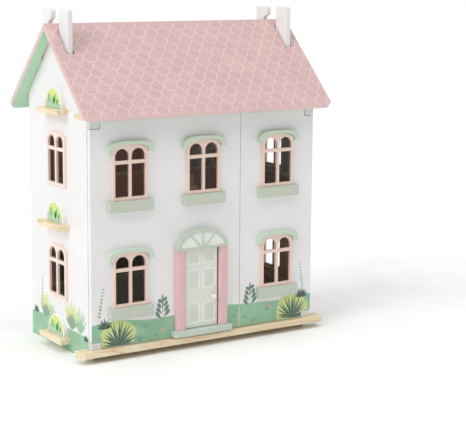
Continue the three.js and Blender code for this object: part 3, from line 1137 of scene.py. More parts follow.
@dataclass
class Plants:
    """Printed plants, drawn leaf by leaf on a sheet."""

    sheet: PrintSheet
    seed: int
    chance: random.Random = field(init=False)

    def __post_init__(self) -> None:
        """Starts the dice from the seed."""
        self.chance = random.Random(self.seed)

    def blade(
        self, foot: Point, lean: float, length: float, width: float, bend: float, ink: Ink, full: float = 0.5
    ) -> None:
        """Draws one pointed leaf.

        Args:
            foot: where it starts.
            lean: its direction in degrees, 90 for straight up.
            length: its length.
            width: its greatest width.
            bend: how far it turns towards its tip, in degrees.
            ink: its colour.
            full: where it is widest, as a share of its length.
        """
        steps = 8
        left, right = [], []
        a, b = foot
        power = math.log(0.5) / math.log(full)
        for i in range(steps + 1):
            share = i / steps
            turn = math.radians(lean + bend * share)
            half = width / 2 * max(math.sin(math.pi * share**power), 0.04)
            left.append((a - half * math.sin(turn), b + half * math.cos(turn)))
            right.append((a + half * math.sin(turn), b - half * math.cos(turn)))
            a += length / steps * math.cos(turn)
            b += length / steps * math.sin(turn)
        self.sheet.add(right + left[::-1], ink)

    def blob(self, middle: Point, radii: Point, ink: Ink, uneven: float = 0.0) -> None:
        """Draws a round patch with a wavy edge.

        Args:
            middle: its centre.
            radii: its half width and half height.
            ink: its colour.
            uneven: depth of the waves as a share of the radius.
        """
        phase = self.chance.uniform(0, math.tau)
        loop = []
        for a, b in arc(middle, (1.0, 1.0), 0, 350, 35):
            turn = math.atan2(b - middle[1], a - middle[0])
            swell = 1 + uneven * (math.sin(5 * turn + phase) + 0.5 * math.sin(9 * turn))
            a, b = radii[0] * swell * math.cos(turn), radii[1] * swell * math.sin(turn)
            loop.append((middle[0] + a, middle[1] + b))
        self.sheet.add(loop, ink)

    def fan(
        self, foot: Point, reach: float, width: float, count: int, inks: tuple[Ink, Ink],
        spread: tuple[float, float] = (8, 172),
    ) -> None:
        """Draws leaves that spread from one foot.

        Args:
            foot: where they start.
            reach: length of the longest.
            width: width of each.
            count: number of leaves.
            inks: their two colours, in turn.
            spread: directions of the first and the last, in degrees.
        """
        first, last = spread
        for i in range(count):
            lean = first + (last - first) * (i + 0.5) / count + self.chance.uniform(-3, 3)
            length = reach * (0.72 + 0.28 * math.sin(math.radians(lean))) * self.chance.uniform(0.82, 1.0)
            bend = (90 - lean) * -0.12
            self.blade(foot, lean, length, width, bend, inks[i % 2], 0.45)

    def agave(self, foot: Point, reach: float) -> None:
        """Draws the large fan over its two yellow-green patches.

        Args:
            foot: where its leaves start.
            reach: their length.
        """
        a, b = foot
        wave, leaf = 0.05, 0.0036
        self.blob((a, b + reach * 0.42), (reach * 0.80, reach * 0.64), Ink.HALO, wave)
        self.blob((a - reach * 0.5, b + reach * 0.1), (reach * 0.26, reach * 0.2), Ink.HALO, wave)
        self.fan(foot, reach * 0.94, leaf, 9, (Ink.AGAVE_LIGHT, Ink.AGAVE_LIGHT), (6, 174))
        self.fan(foot, reach * 1.10, leaf, 15, (Ink.AGAVE, Ink.FERN), (4, 176))
        self.sheet.fresh()

    def fern(self, foot: Point, reach: float) -> None:
        """Draws the low dark fern."""
        self.fan(foot, reach, reach * 0.15, 11, (Ink.FERN, Ink.FERN), (8, 172))
        self.sheet.fresh()

    def tuft(self, foot: Point, reach: float, ink: Ink = Ink.TUFT) -> None:
        """Draws a few blades of grass."""
        self.fan(foot, reach, reach * 0.16, 6, (ink, ink), (30, 150))
        self.sheet.fresh()

    def lobed(self, foot: Point, height: float, ink: Ink = Ink.CACTUS) -> None:
        """Draws an upright plant with rounded lobes in pairs.

        Args:
            foot: where it starts.
            height: its height.
            ink: its colour.
        """
        self.blade(foot, 90, height, height * 0.085, 0, ink, 0.8)
        pairs = 4
        for i in range(pairs):
            share = 0.08 + 0.19 * i
            length = height * (0.42 - 0.06 * i)
            for side in (-1, 1):
                start = (foot[0], foot[1] + height * (share + 0.05 * (side > 0)))
                self.blade(start, 90 - side * 50, length, height * 0.145, side * 16, ink, 0.68)
        self.sheet.fresh()

    def sprig(self, foot: Point, height: float, lean: float, ink: Ink = Ink.SPRIG) -> None:
        """Draws a tall thin stem with small leaves.

        Args:
            foot: where it starts.
            height: its height.
            lean: its direction in degrees.
            ink: its colour.
        """
        way = math.radians(lean)
        self.blade(foot, lean, height, 0.0008, 0, ink)
        count = 9
        for i in range(count):
            share = 0.18 + 0.78 * i / count
            middle = (foot[0] + height * share * math.cos(way), foot[1] + height * share * math.sin(way))
            for side in (-1, 1):
                size = 0.0070 * (1 - 0.5 * share)
                self.blade(middle, lean - side * 30, size, size * 0.3, 0, ink)
        self.sheet.fresh()

    def spear(self, foot: Point, height: float, ink: Ink, deep: Ink) -> None:
        """Draws a bush of narrow leaves that rise from one stem.

        Args:
            foot: where it starts.
            height: its height.
            ink: colour of the back leaves.
            deep: colour of the front leaves.
        """
        for tone, reach, lift in ((ink, 1.0, 0.30), (deep, 0.72, 0.05)):
            for i in range(9):
                lean = 40 + 100 * i / 8 + self.chance.uniform(-4, 4)
                start = (foot[0], foot[1] + height * lift * (1 - abs(lean - 90) / 90))
                self.blade(start, lean, height * reach * 0.68, height * 0.09, 0, tone)
        self.sheet.fresh()

    def flower(self, middle: Point, size: float, ink: Ink = Ink.ORANGE) -> None:
        """Draws a flower of four pointed petals.

        Args:
            middle: its centre.
            size: length of a petal.
            ink: its colour.
        """
        for lean in (90, 180, 270, 360):
            self.blade(middle, lean, size, size * 0.42, 0, ink)
        self.sheet.fresh()

    def blossom(self, middle: Point, size: float, ink: Ink = Ink.BLOSSOM) -> None:
        """Draws a small flower of five round petals.

        Args:
            middle: its centre.
            size: its radius.
            ink: its colour.
        """
        for petal in arc(middle, (size * 0.5, size * 0.5), 90, 378, 4):
            self.blob(petal, (size * 0.42, size * 0.42), ink)
        self.sheet.fresh()


# ---------------------------------------------------------------- sub-assemblies


GROUND_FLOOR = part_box("base_board")[1].z
UPPER_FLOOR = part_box("upper_floor")[1].z
ATTIC_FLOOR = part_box("attic_floor")[1].z
FLOORS = (GROUND_FLOOR, UPPER_FLOOR, ATTIC_FLOOR)

KITCHEN = Wallpaper(Pattern.TILES, "#8c908d", "#cbbfb6", "#c7d4cd", 0.030, share=0.05, dado_top=0.070)
BEDROOM = Wallpaper(Pattern.STRIPES, "#e2c3c8", "#cfa5af", "#e4c8cc", 0.007, share=0.3, dado_top=0.062)
PARLOUR = Wallpaper(Pattern.DOTS, "#e2cdb6", "#c6a98c", "#d6c8cf", 0.011, share=0.24, dado_top=0.060)
BATHROOM = Wallpaper(Pattern.STRIPES, "#e6e7ea", "#c9cdd3", "#dcd0d8", 0.034, share=0.5, dado_top=0.060)
LEFT_ROOMS = Storeys(KITCHEN, BEDROOM)
RIGHT_ROOMS = Storeys(PARLOUR, BATHROOM)


def painted(name: str, colour: str, roughness: float = 0.5) -> bpy.types.Material:
    """A paint for whole pieces and for faces."""
    return Paint(colour, roughness).material(name + "_paint")


def worn(name: str, colour: str, roughness: float = 0.5) -> bpy.types.Material:
    """The same paint, a little rubbed through, for edges."""
    return Paint(colour, roughness, wear=0.36).material(name + "_paint_edges")


class Finishes:
    """Every finish that pieces share, made once."""

    def __init__(self) -> None:
        """Mixes the paints and picks the woods."""
        white, block = ("white", "#f2f1ef", 0.52), ("block_white", "#dde1de")
        self.white, self.white_edge = painted(*white), worn(*white)
        self.block, self.block_edge = painted(*block), worn(*block)
        self.mint = painted("mint", "#cbdac8", 0.46)
        self.sill_mint = painted("sill_mint", "#c5cebf", 0.46)
        self.fan_mint = painted("fan_mint", "#c6d0c2", 0.46)
        self.peach = painted("peach", "#f1d6c8")
        self.side_peach = painted("side_peach", "#f7e2d7")
        self.pink = painted("pink", "#e3bcbc", 0.46)
        self.pale_mint = painted("pale_mint", "#e4e7df", 0.46)
        self.step_mint = painted("step_mint", "#c6d3c6", 0.48)
        self.panel_line = Paint("#f0f4ec", 0.44).material("panel_moulding_paint")
        self.knob = Paint("#f0eee8", 0.3).material("knob_paint")
        self.wood_across = Wood(Axis.X).material("wood_grain_across")
        self.wood_deep = Wood(Axis.Y).material("wood_grain_front_to_back")
        self.catch = Plastic("#cfd1d0").material("catch_plastic")
        self.steel = Steel().material("strike_steel")
        # Bare cut edge of the boards, its wood darkened to a shaded brown: partly bare board, partly painted
        # shade in the reveals and beside the door.
        self.cut = Wood(Axis.Z, "#9a7a66", "#876854", "#6d5242", 0.7).material("bare_cut_edge")


@dataclass
class Carcass:
    """Fixed boards of the house: base, walls, floors, stairs, pivot blocks and the catch."""

    finishes: Finishes
    board_edge: float = 0.0007
    plank_edge: float = 0.0011
    stair_edge: float = 0.0008
    small_edge: float = 0.0005
    plate_edge: float = 0.0002
    side_lawn_top: float = 0.047
    side_lawn_wave: float = 0.006

    def build(self) -> None:
        """Builds all of it."""
        self.planks()
        self.side_walls()
        self.back_wall()
        self.small_parts()

    def planks(self) -> None:
        """Lacquers the base board, the floors and the stairs."""
        wood = self.finishes.wood_across
        for node in ("base_board", "upper_floor", "attic_floor"):
            softened(node, wood, wood, self.plank_edge)
        for node in ("lower_stairs", "upper_stairs"):
            softened(node, wood, wood, self.stair_edge)

    def side_walls(self) -> None:
        """Paints and papers both side walls."""
        for side, sign, rooms in (("left", -1, LEFT_ROOMS), ("right", 1, RIGHT_ROOMS)):
            node = side + "_side_wall"
            low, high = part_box(node)
            outer, inner = (low.x, high.x) if sign < 0 else (high.x, low.x)
            board = PrintedBoard(
                Axis.X, outer, inner, FLOORS, rooms, rooms, self.side_lawn_top, self.side_lawn_wave
            )
            frames = [f"{side}_side_{level}_window_frame" for level in ("upper", "lower")]
            softened(
                node, board.material(node + "_print"), self.finishes.white_edge, self.board_edge,
                self.finishes.cut, frames,
            )

    def back_wall(self) -> None:
        """Papers the back wall, one half in each pair of rooms, and prints what hangs on it."""
        low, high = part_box("back_wall")
        board = PrintedBoard(Axis.Y, high.y, low.y, FLOORS, LEFT_ROOMS, RIGHT_ROOMS)
        softened("back_wall", board.material("back_wall_print"), self.finishes.white_edge, self.board_edge)
        sheet = PrintSheet(facing_front(low.y), [(low.x, high.x, low.z, high.z)])
        plants = Plants(sheet, 11)
        self._bedroom_prints(sheet)
        self._kitchen_prints(sheet)
        self._bathroom_prints(sheet, plants)
        self._parlour_prints(sheet, plants)
        sheet.build("room_prints", "back_wall")

    @staticmethod
    def _framed(sheet: PrintSheet, a: float, b: float, wide: float, high: float, inside: Ink) -> None:
        """Prints a framed picture.

        Args:
            sheet: the sheet it goes on.
            a: its centre across.
            b: its centre up.
            wide: its width.
            high: its height.
            inside: colour of the picture.
        """
        for rim, ink in ((0.0, Ink.SLATE), (0.0022, inside)):
            half, rise = wide / 2 - rim, high / 2 - rim
            sheet.add(rectangle(a - half, a + half, b - rise, b + rise), ink)
        sheet.fresh()

    def _bedroom_prints(self, sheet: PrintSheet) -> None:
        """Prints the upper left room's pictures and its shelf.

        Args:
            sheet: the back wall's sheet.
        """
        floor = UPPER_FLOOR
        for i, inside in enumerate((Ink.BLUSH, Ink.WHITE, Ink.SALMON)):
            self._framed(sheet, -0.206, floor + 0.152 - 0.027 * i, 0.018, 0.020, inside)
        sheet.add(rectangle(-0.125, -0.050, floor + 0.118, floor + 0.122), Ink.WHITE)
        sheet.add(headed(-0.088, 0.014, floor + 0.122, floor + 0.130, 0.014), Ink.SALMON)
        sheet.add(headed(-0.088, 0.008, floor + 0.122, floor + 0.128, 0.008), Ink.BLUSH)
        self._framed(sheet, -0.165, floor + 0.140, 0.014, 0.014, Ink.WHITE)

    def _kitchen_prints(self, sheet: PrintSheet) -> None:
        """Prints the lower left room's shelf with jars and hanging tools.

        Args:
            sheet: the back wall's sheet.
        """
        floor = GROUND_FLOOR
        sheet.add(rectangle(-0.132, -0.040, floor + 0.150, floor + 0.154), Ink.WHITE)
        for i in range(5):
            a = -0.124 + 0.018 * i
            sheet.add(rectangle(a, a + 0.010, floor + 0.154, floor + 0.164 + 0.003 * (i % 2)), Ink.BLUSH)
        for i in range(4):
            a = -0.122 + 0.020 * i
            sheet.add(rectangle(a, a + 0.0012, floor + 0.128, floor + 0.150), Ink.TIMBER)
            sheet.add(arc((a + 0.0006, floor + 0.124), (0.0034, 0.0050), 0, 345, 23), Ink.TIMBER)
        sheet.fresh()
        self._framed(sheet, -0.190, floor + 0.150, 0.022, 0.026, Ink.GREY)

    def _bathroom_prints(self, sheet: PrintSheet, plants: Plants) -> None:
        """Prints the upper right room's hanging plants, mirror and towel rail.

        Args:
            sheet: the back wall's sheet.
            plants: the pen for leaves.
        """
        floor = UPPER_FLOOR
        for a, drop in ((0.045, 0.052), (0.078, 0.034), (0.190, 0.044)):
            sheet.add(rectangle(a - 0.0004, a + 0.0004, floor + 0.172 - drop, floor + 0.174), Ink.SLATE)
            plants.fan((a, floor + 0.166 - drop), 0.015, 0.0026, 8, (Ink.FERN, Ink.CACTUS), (200, 340))
            sheet.fresh()
        for radii, ink in (((0.020, 0.024), Ink.TIMBER), ((0.017, 0.021), Ink.WHITE)):
            sheet.add(arc((0.128, floor + 0.128), radii, 0, 350, 35), ink)
        sheet.add(rectangle(0.158, 0.205, floor + 0.092, floor + 0.0935), Ink.SLATE)
        sheet.add(rectangle(0.166, 0.186, floor + 0.074, floor + 0.0925), Ink.BLUSH)
        sheet.fresh()

    def _parlour_prints(self, sheet: PrintSheet, plants: Plants) -> None:
        """Prints the lower right room's pictures and its shelf of plants.

        Args:
            sheet: the back wall's sheet.
            plants: the pen for leaves.
        """
        floor = GROUND_FLOOR
        self._framed(sheet, 0.072, floor + 0.150, 0.036, 0.030, Ink.WHITE)
        plants.blossom((0.072, floor + 0.150), 0.009, Ink.SALMON)
        sheet.add(rectangle(0.118, 0.196, floor + 0.126, floor + 0.130), Ink.TIMBER)
        for a, ink in ((0.128, Ink.SALMON), (0.150, Ink.WHITE), (0.178, Ink.SLATE)):
            sheet.add(rectangle(a, a + 0.012, floor + 0.130, floor + 0.140), ink)
            plants.fan((a + 0.006, floor + 0.140), 0.014, 0.0030, 6, (Ink.LEAF, Ink.FERN), (40, 140))
        sheet.fresh()

    def small_parts(self) -> None:
        """Paints the pivot blocks and finishes the catch and its strike plates."""
        for side in ("left", "right"):
            for level in ("bottom", "top"):
                block = f"{side}_{level}_pivot_block"
                softened(block, self.finishes.block, self.finishes.block_edge, self.small_edge)
            steel = self.finishes.steel
            softened(side + "_strike_plate", steel, steel, self.plate_edge)
        plastic = self.finishes.catch
        softened("magnetic_catch", plastic, plastic, self.small_edge)


@dataclass
class SideGarden:
    """Pale plants printed low on both side walls."""

    ground: float = GROUND_FLOOR
    foot: float = 0.002
    margin: float = 0.001

    def build(self) -> None:
        """Prints both walls."""
        for side, sign in (("left", -1), ("right", 1)):
            low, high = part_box(side + "_side_wall")
            plane = facing_side(low.x if sign < 0 else high.x, sign)
            window = (low.y + self.margin, high.y - self.margin, self.foot, ATTIC_FLOOR)
            sheet = PrintSheet(plane, [window])
            self.draw(Plants(sheet, 21))
            sheet.build(side + "_side_wall_garden_print", side + "_side_wall")

    def draw(self, plants: Plants) -> None:
        """Draws one wall's plants, from the back of the house to its front.

        Args:
            plants: the pen.
        """
        base = self.ground
        plants.fern((0.096, base + 0.024), 0.017)
        plants.sprig((0.074, base + 0.030), 0.078, 96, Ink.GREY)
        plants.spear((0.056, base + 0.020), 0.056, Ink.HALO, Ink.AGAVE_LIGHT)
        plants.spear((0.030, base + 0.016), 0.040, Ink.PALE, Ink.PALE_DEEP)
        plants.spear((-0.050, base + 0.020), 0.062, Ink.HALO, Ink.AGAVE_LIGHT)
        plants.spear((-0.084, base + 0.020), 0.054, Ink.PALE, Ink.PALE_DEEP)
        plants.fern((-0.106, base + 0.012), 0.015)
        plants.tuft((-0.078, base - 0.002), 0.012, Ink.PALE_DEEP)
        plants.tuft((0.084, base + 0.002), 0.012, Ink.PALE_DEEP)
        plants.flower((-0.068, base - 0.006), 0.005)


@dataclass
class FrontDoors:
    """Two hinged front boards with a garden outside and wallpapers inside."""

    finishes: Finishes
    edge: float = 0.0006
    margin: float = 0.0012
    lawn_over_ground: float = 0.0445

    def build(self) -> None:
        """Builds both boards and their prints."""
        lawn_top = GROUND_FLOOR + self.lawn_over_ground
        frames = [name for name in BODY_OF if name.endswith("window_frame") and "side" not in name]
        for side, rooms in (("left", LEFT_ROOMS), ("right", RIGHT_ROOMS)):
            node = side + "_front_door"
            low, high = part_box(node)
            board = PrintedBoard(Axis.Y, low.y, high.y, FLOORS, rooms, rooms, lawn_top)
            softened(
                node, board.material(node + "_print"), self.finishes.white_edge, self.edge,
                self.finishes.cut, frames,
            )
        self.left_garden()
        self.right_garden()

    def sheet(self, side: str) -> PrintSheet:
        """Print sheet of one door, which leaves the corner with the pivot block bare.

        Args:
            side: left or right.

        Returns:
            The sheet.
        """
        low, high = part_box(side + "_front_door")
        block_low, block_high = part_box(side + "_bottom_pivot_block")
        edge = self.margin
        left, right = low.x + edge, high.x - edge
        split = block_high.z + 2 * edge
        inner_left = max(left, block_high.x + 2 * edge) if side == "left" else left
        inner_right = min(right, block_low.x - 2 * edge) if side == "right" else right
        bands = [(inner_left, inner_right, low.z + edge, split), (left, right, split, ATTIC_FLOOR)]
        return PrintSheet(facing_front(low.y), bands)

    def left_garden(self) -> None:
        """Prints the plants of the left door."""
        sheet = self.sheet("left")
        plants, base = Plants(sheet, 31), GROUND_FLOOR
        plants.agave((-0.185, base + 0.002), 0.044)
        plants.fern((-0.2140, base + 0.036), 0.021)
        plants.sprig((-0.227, base + 0.044), 0.074, 80)
        plants.lobed((-0.094, base + 0.034), 0.052)
        plants.tuft((-0.142, base + 0.003), 0.017)
        plants.tuft((-0.129, base + 0.026), 0.014)
        plants.tuft((-0.106, base + 0.008), 0.010)
        plants.flower((-0.094, base + 0.018), 0.006)
        plants.tuft((0.062, base + 0.020), 0.010)
        sheet.build("left_door_garden_print", "left_front_door")

    def right_garden(self) -> None:
        """Prints the plants of the right door."""
        sheet = self.sheet("right")
        plants, base = Plants(sheet, 41), GROUND_FLOOR
        plants.agave((0.196, base + 0.003), 0.046)
        plants.fern((0.2180, base + 0.041), 0.021)
        plants.sprig((0.223, base + 0.048), 0.072, 99, Ink.PALE_DEEP)
        plants.lobed((0.098, base + 0.034), 0.052)
        plants.tuft((0.138, base + 0.024), 0.011)
        plants.tuft((0.086, base + 0.016), 0.009)
        plants.tuft((0.106, base + 0.006), 0.010)
        plants.flower((0.143, base + 0.032), 0.006)
        sheet.build("right_door_garden_print", "right_front_door")


@dataclass
class Roof:
    """Two loose roof boards, fish scales outside and a printed garden inside."""

    thick: float = 0.009
    edge: float = 0.0009
    margin: float = 0.004
    side_margin: float = 0.045

    def build(self) -> None:
        """Builds both boards."""
        for side, sign in (("front", -1), ("back", 1)):
            node = side + "_roof_panel"
            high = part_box(node)[1]
            board = RoofBoard(high.z, self.thick)
            face = board.material(node + "_print")
            rim = Paint(board.edge, 0.5, wear=0.2).material(node + "_edges")
            softened(node, face, rim, self.edge)
            self.garden(node, sign, high.z)

    def garden(self, node: str, sign: int, ridge: float) -> None:
        """Prints the garden on the face that looks into the attic.

        Args:
            node: the roof board.
            sign: -1 for the front board and 1 for the back one.
            ridge: height of the ridge.
        """
        slope = 1 / math.sqrt(2)
        up = Vector((0, -sign * slope, slope))
        out = Vector((0, -sign * slope, -slope))
        low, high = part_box(node)
        length = (high.z - low.z) * math.sqrt(2) - self.thick
        inner_ridge = Vector((0, 0, ridge - self.thick * math.sqrt(2)))
        plane = Plane(inner_ridge - up * length, X_WAY, up, out)
        reach, edge = high.x - self.side_margin, self.margin
        sheet = PrintSheet(plane, [(-high.x + edge, high.x - edge, edge, length - edge)])
        plants = Plants(sheet, 51)
        for i in range(9):
            plants.blob((-reach + 2 * reach * i / 8, 0.012), (0.0024, 0.0024), Ink.WHITE)
        sheet.add(rectangle(-0.225, -0.150, 0.026, 0.086), Ink.GREY)
        sheet.add(rectangle(-0.2235, -0.1515, 0.0275, 0.0845), Ink.BLUSH)
        plants.blossom((-0.190, 0.056), 0.010, Ink.SALMON)
        sheet.add(rectangle(0.055, 0.175, 0.078, 0.122), Ink.BLOSSOM)
        sheet.add(rectangle(0.067, 0.163, 0.078, 0.122), Ink.SALMON)
        sheet.fresh()
        for i in range(8):
            middle = (-0.120 + 0.048 * i, 0.034)
            round_bush = i in (2, 7)
            plants.blob(middle, (0.014, 0.010), Ink.LIME if round_bush else Ink.CACTUS, 0.04)
            plants.fan(middle, 0.011, 0.003, 7, (Ink.AGAVE, Ink.FERN), (0, 180))
            sheet.fresh()
        for i in range(3):
            start = -0.030 + 0.080 * i
            sheet.add(rectangle(start, start + 0.062, 0.176, 0.192, 0.003), Ink.BLUSH)
        for i in range(8):
            sheet.add(rectangle(-0.215 + 0.010 * i, -0.212 + 0.010 * i, 0.172, 0.192, 0.0008), Ink.CACTUS)
        sheet.fresh()
        for a, b in ((-0.130, 0.110), (-0.060, 0.090), (0.010, 0.140), (0.200, 0.110), (-0.090, 0.150)):
            plants.flower((a, b), 0.005, Ink.WHITE)
        sheet.build(node + "_garden_print", node)


@dataclass
class Window:
    """Window frame with four lights."""

    name: str
    plane: Plane
    finishes: Finishes
    light: float = 0.0275
    mullion: float = 0.0055
    light_height: float = 0.0858
    transom: tuple[float, float] = (0.0585, 0.065)
    below: float = 0.006
    rise: float = 0.0137
    soft: float = 0.0011

    def build(self) -> None:
        """Builds the frame."""
        node = self.name + "_window_frame"
        a0, a1, b0, b1, deep = self.plane.span(node)
        middle = (a0 + a1) / 2
        foot = b0 + self.below
        outline = [(a0, b0), (a1, b0)] + flat_arch((middle, b1 - self.rise), (a1 - a0) / 2, self.rise)
        half = self.light / 2
        spring = foot + self.light_height - half
        holes = []
        for side in (-1, 1):
            centre = middle + side * (self.mullion + self.light) / 2
            holes.append(rectangle(centre - half, centre + half, foot, foot + self.transom[0], 0.0012))
            holes.append(headed(centre, half, foot + self.transom[1], spring, half, 24))
        paint = self.finishes.side_peach if "side" in self.name else self.finishes.peach
        moulded(node + "_moulded", node, paint, self.plane, outline, deep, self.soft, holes)


@dataclass
class FrontWindow(Window):
    """Front window: a frame, an arched hood over it and a sill under it."""

    hood_gap: float = 0.0004
    hood_power: float = 3.4
    hood_soft: float = 0.0009
    sill_corner: float = 0.005
    sill_soft: float = 0.0022
    flower: float = 0.0048

    def build(self) -> None:
        """Builds the frame, the hood and the sill."""
        super().build()
        self.hood()
        self.sill()

    def hood(self) -> None:
        """Builds the hood, a band on two flat feet that hugs the frame's head."""
        node = self.name + "_window_hood"
        a0, a1, b0, b1, deep = self.plane.span(node)
        left, right = self.plane.span(self.name + "_window_frame")[:2]
        foot = ((a0 + a1) / 2, b0)
        band = flat_arch(foot, (a1 - a0) / 2, b1 - b0, power=self.hood_power)
        band += flat_arch(foot, (right - left) / 2 + self.hood_gap, self.rise + self.hood_gap)[::-1]
        moulded(node + "_moulded", node, self.finishes.mint, self.plane, band, deep, self.hood_soft)

    def sill(self) -> None:
        """Builds the sill, with a small flower printed in its middle."""
        node = self.name + "_window_sill"
        a0, a1, b0, b1, deep = self.plane.span(node)
        r = self.sill_corner
        outline = arc((a0 + r, b0 + r), (r, r), 180, 270, 8) + arc((a1 - r, b0 + r), (r, r), 270, 360, 8)
        outline += [(a1, b1), (a0, b1)]
        moulded(node + "_moulded", node, self.finishes.sill_mint, self.plane, outline, deep, self.sill_soft)
        sheet = PrintSheet(self.plane.raised(deep), [(a0, a1, b0, b1)])
        Plants(sheet, 61).blossom(((a0 + a1) / 2, (b0 + b1) / 2), self.flower)
        sheet.build(node + "_flower", node)


@dataclass
class Planter:
    """Arched plant board on a shelf block, on a side wall."""

    name: str
    plane: Plane
    finishes: Finishes
    shelf_soft: float = 0.0012
    board_soft: float = 0.0012
    border: float = 0.0028

    def build(self) -> None:
        """Builds the shelf and the board with its print."""
        shelf = self.name + "_planter_shelf"
        a0, a1, b0, b1, deep = self.plane.span(shelf)
        block, soft = rectangle(a0, a1, b0, b1, self.shelf_soft), self.shelf_soft
        moulded(shelf + "_block", shelf, self.finishes.wood_deep, self.plane, block, deep, soft)
        self.board()

    def board(self) -> None:
        """Builds the arched board."""
        node = self.name + "_planter_board"
        a0, a1, b0, b1, deep = self.plane.span(node)
        middle, radius = (a0 + a1) / 2, (a1 - a0) / 2
        shoulder = b1 - radius
        outline = headed(middle, radius, b0, shoulder, radius)
        moulded(node + "_arched", node, self.finishes.white, self.plane, outline, deep, self.board_soft)
        inner = radius - self.border
        sheet = PrintSheet(self.plane.raised(deep), [(a0, a1, b0 + 0.0004, b1)])
        plants = Plants(sheet, 71)
        sheet.add(headed(middle, inner, b0, shoulder, inner), Ink.LIME)
        sheet.add(self.hill(middle, inner, b0), Ink.PALE)
        plants.lobed((middle + radius * 0.42, b0 + radius * 0.22), radius * 0.62, Ink.LEAF)
        for a, lean, length in ((-0.12, 112, 0.66), (-0.16, 74, 0.52), (-0.44, 118, 0.40)):
            sheet.level = 3
            foot = (middle + radius * a, b0 + radius * 0.2)
            plants.blade(foot, lean, radius * length, radius * 0.24, -10, Ink.LEAF)
        sheet.build(self.name + "_planter_leaf_print", node)

    @staticmethod
    def hill(middle: float, half: float, foot: float) -> Loop:
        """Outline of the pale ground under the leaves.

        Args:
            middle: its centre line.
            half: its half width.
            foot: its lower edge.

        Returns:
            The outline.
        """
        steps = 20
        top = []
        for i in range(steps + 1):
            share = i / steps
            top.append((middle + half * (1 - 2 * share), foot + half * (0.44 + 0.16 * math.sin(6 * share))))
        return [(middle - half, foot), (middle + half, foot)] + top


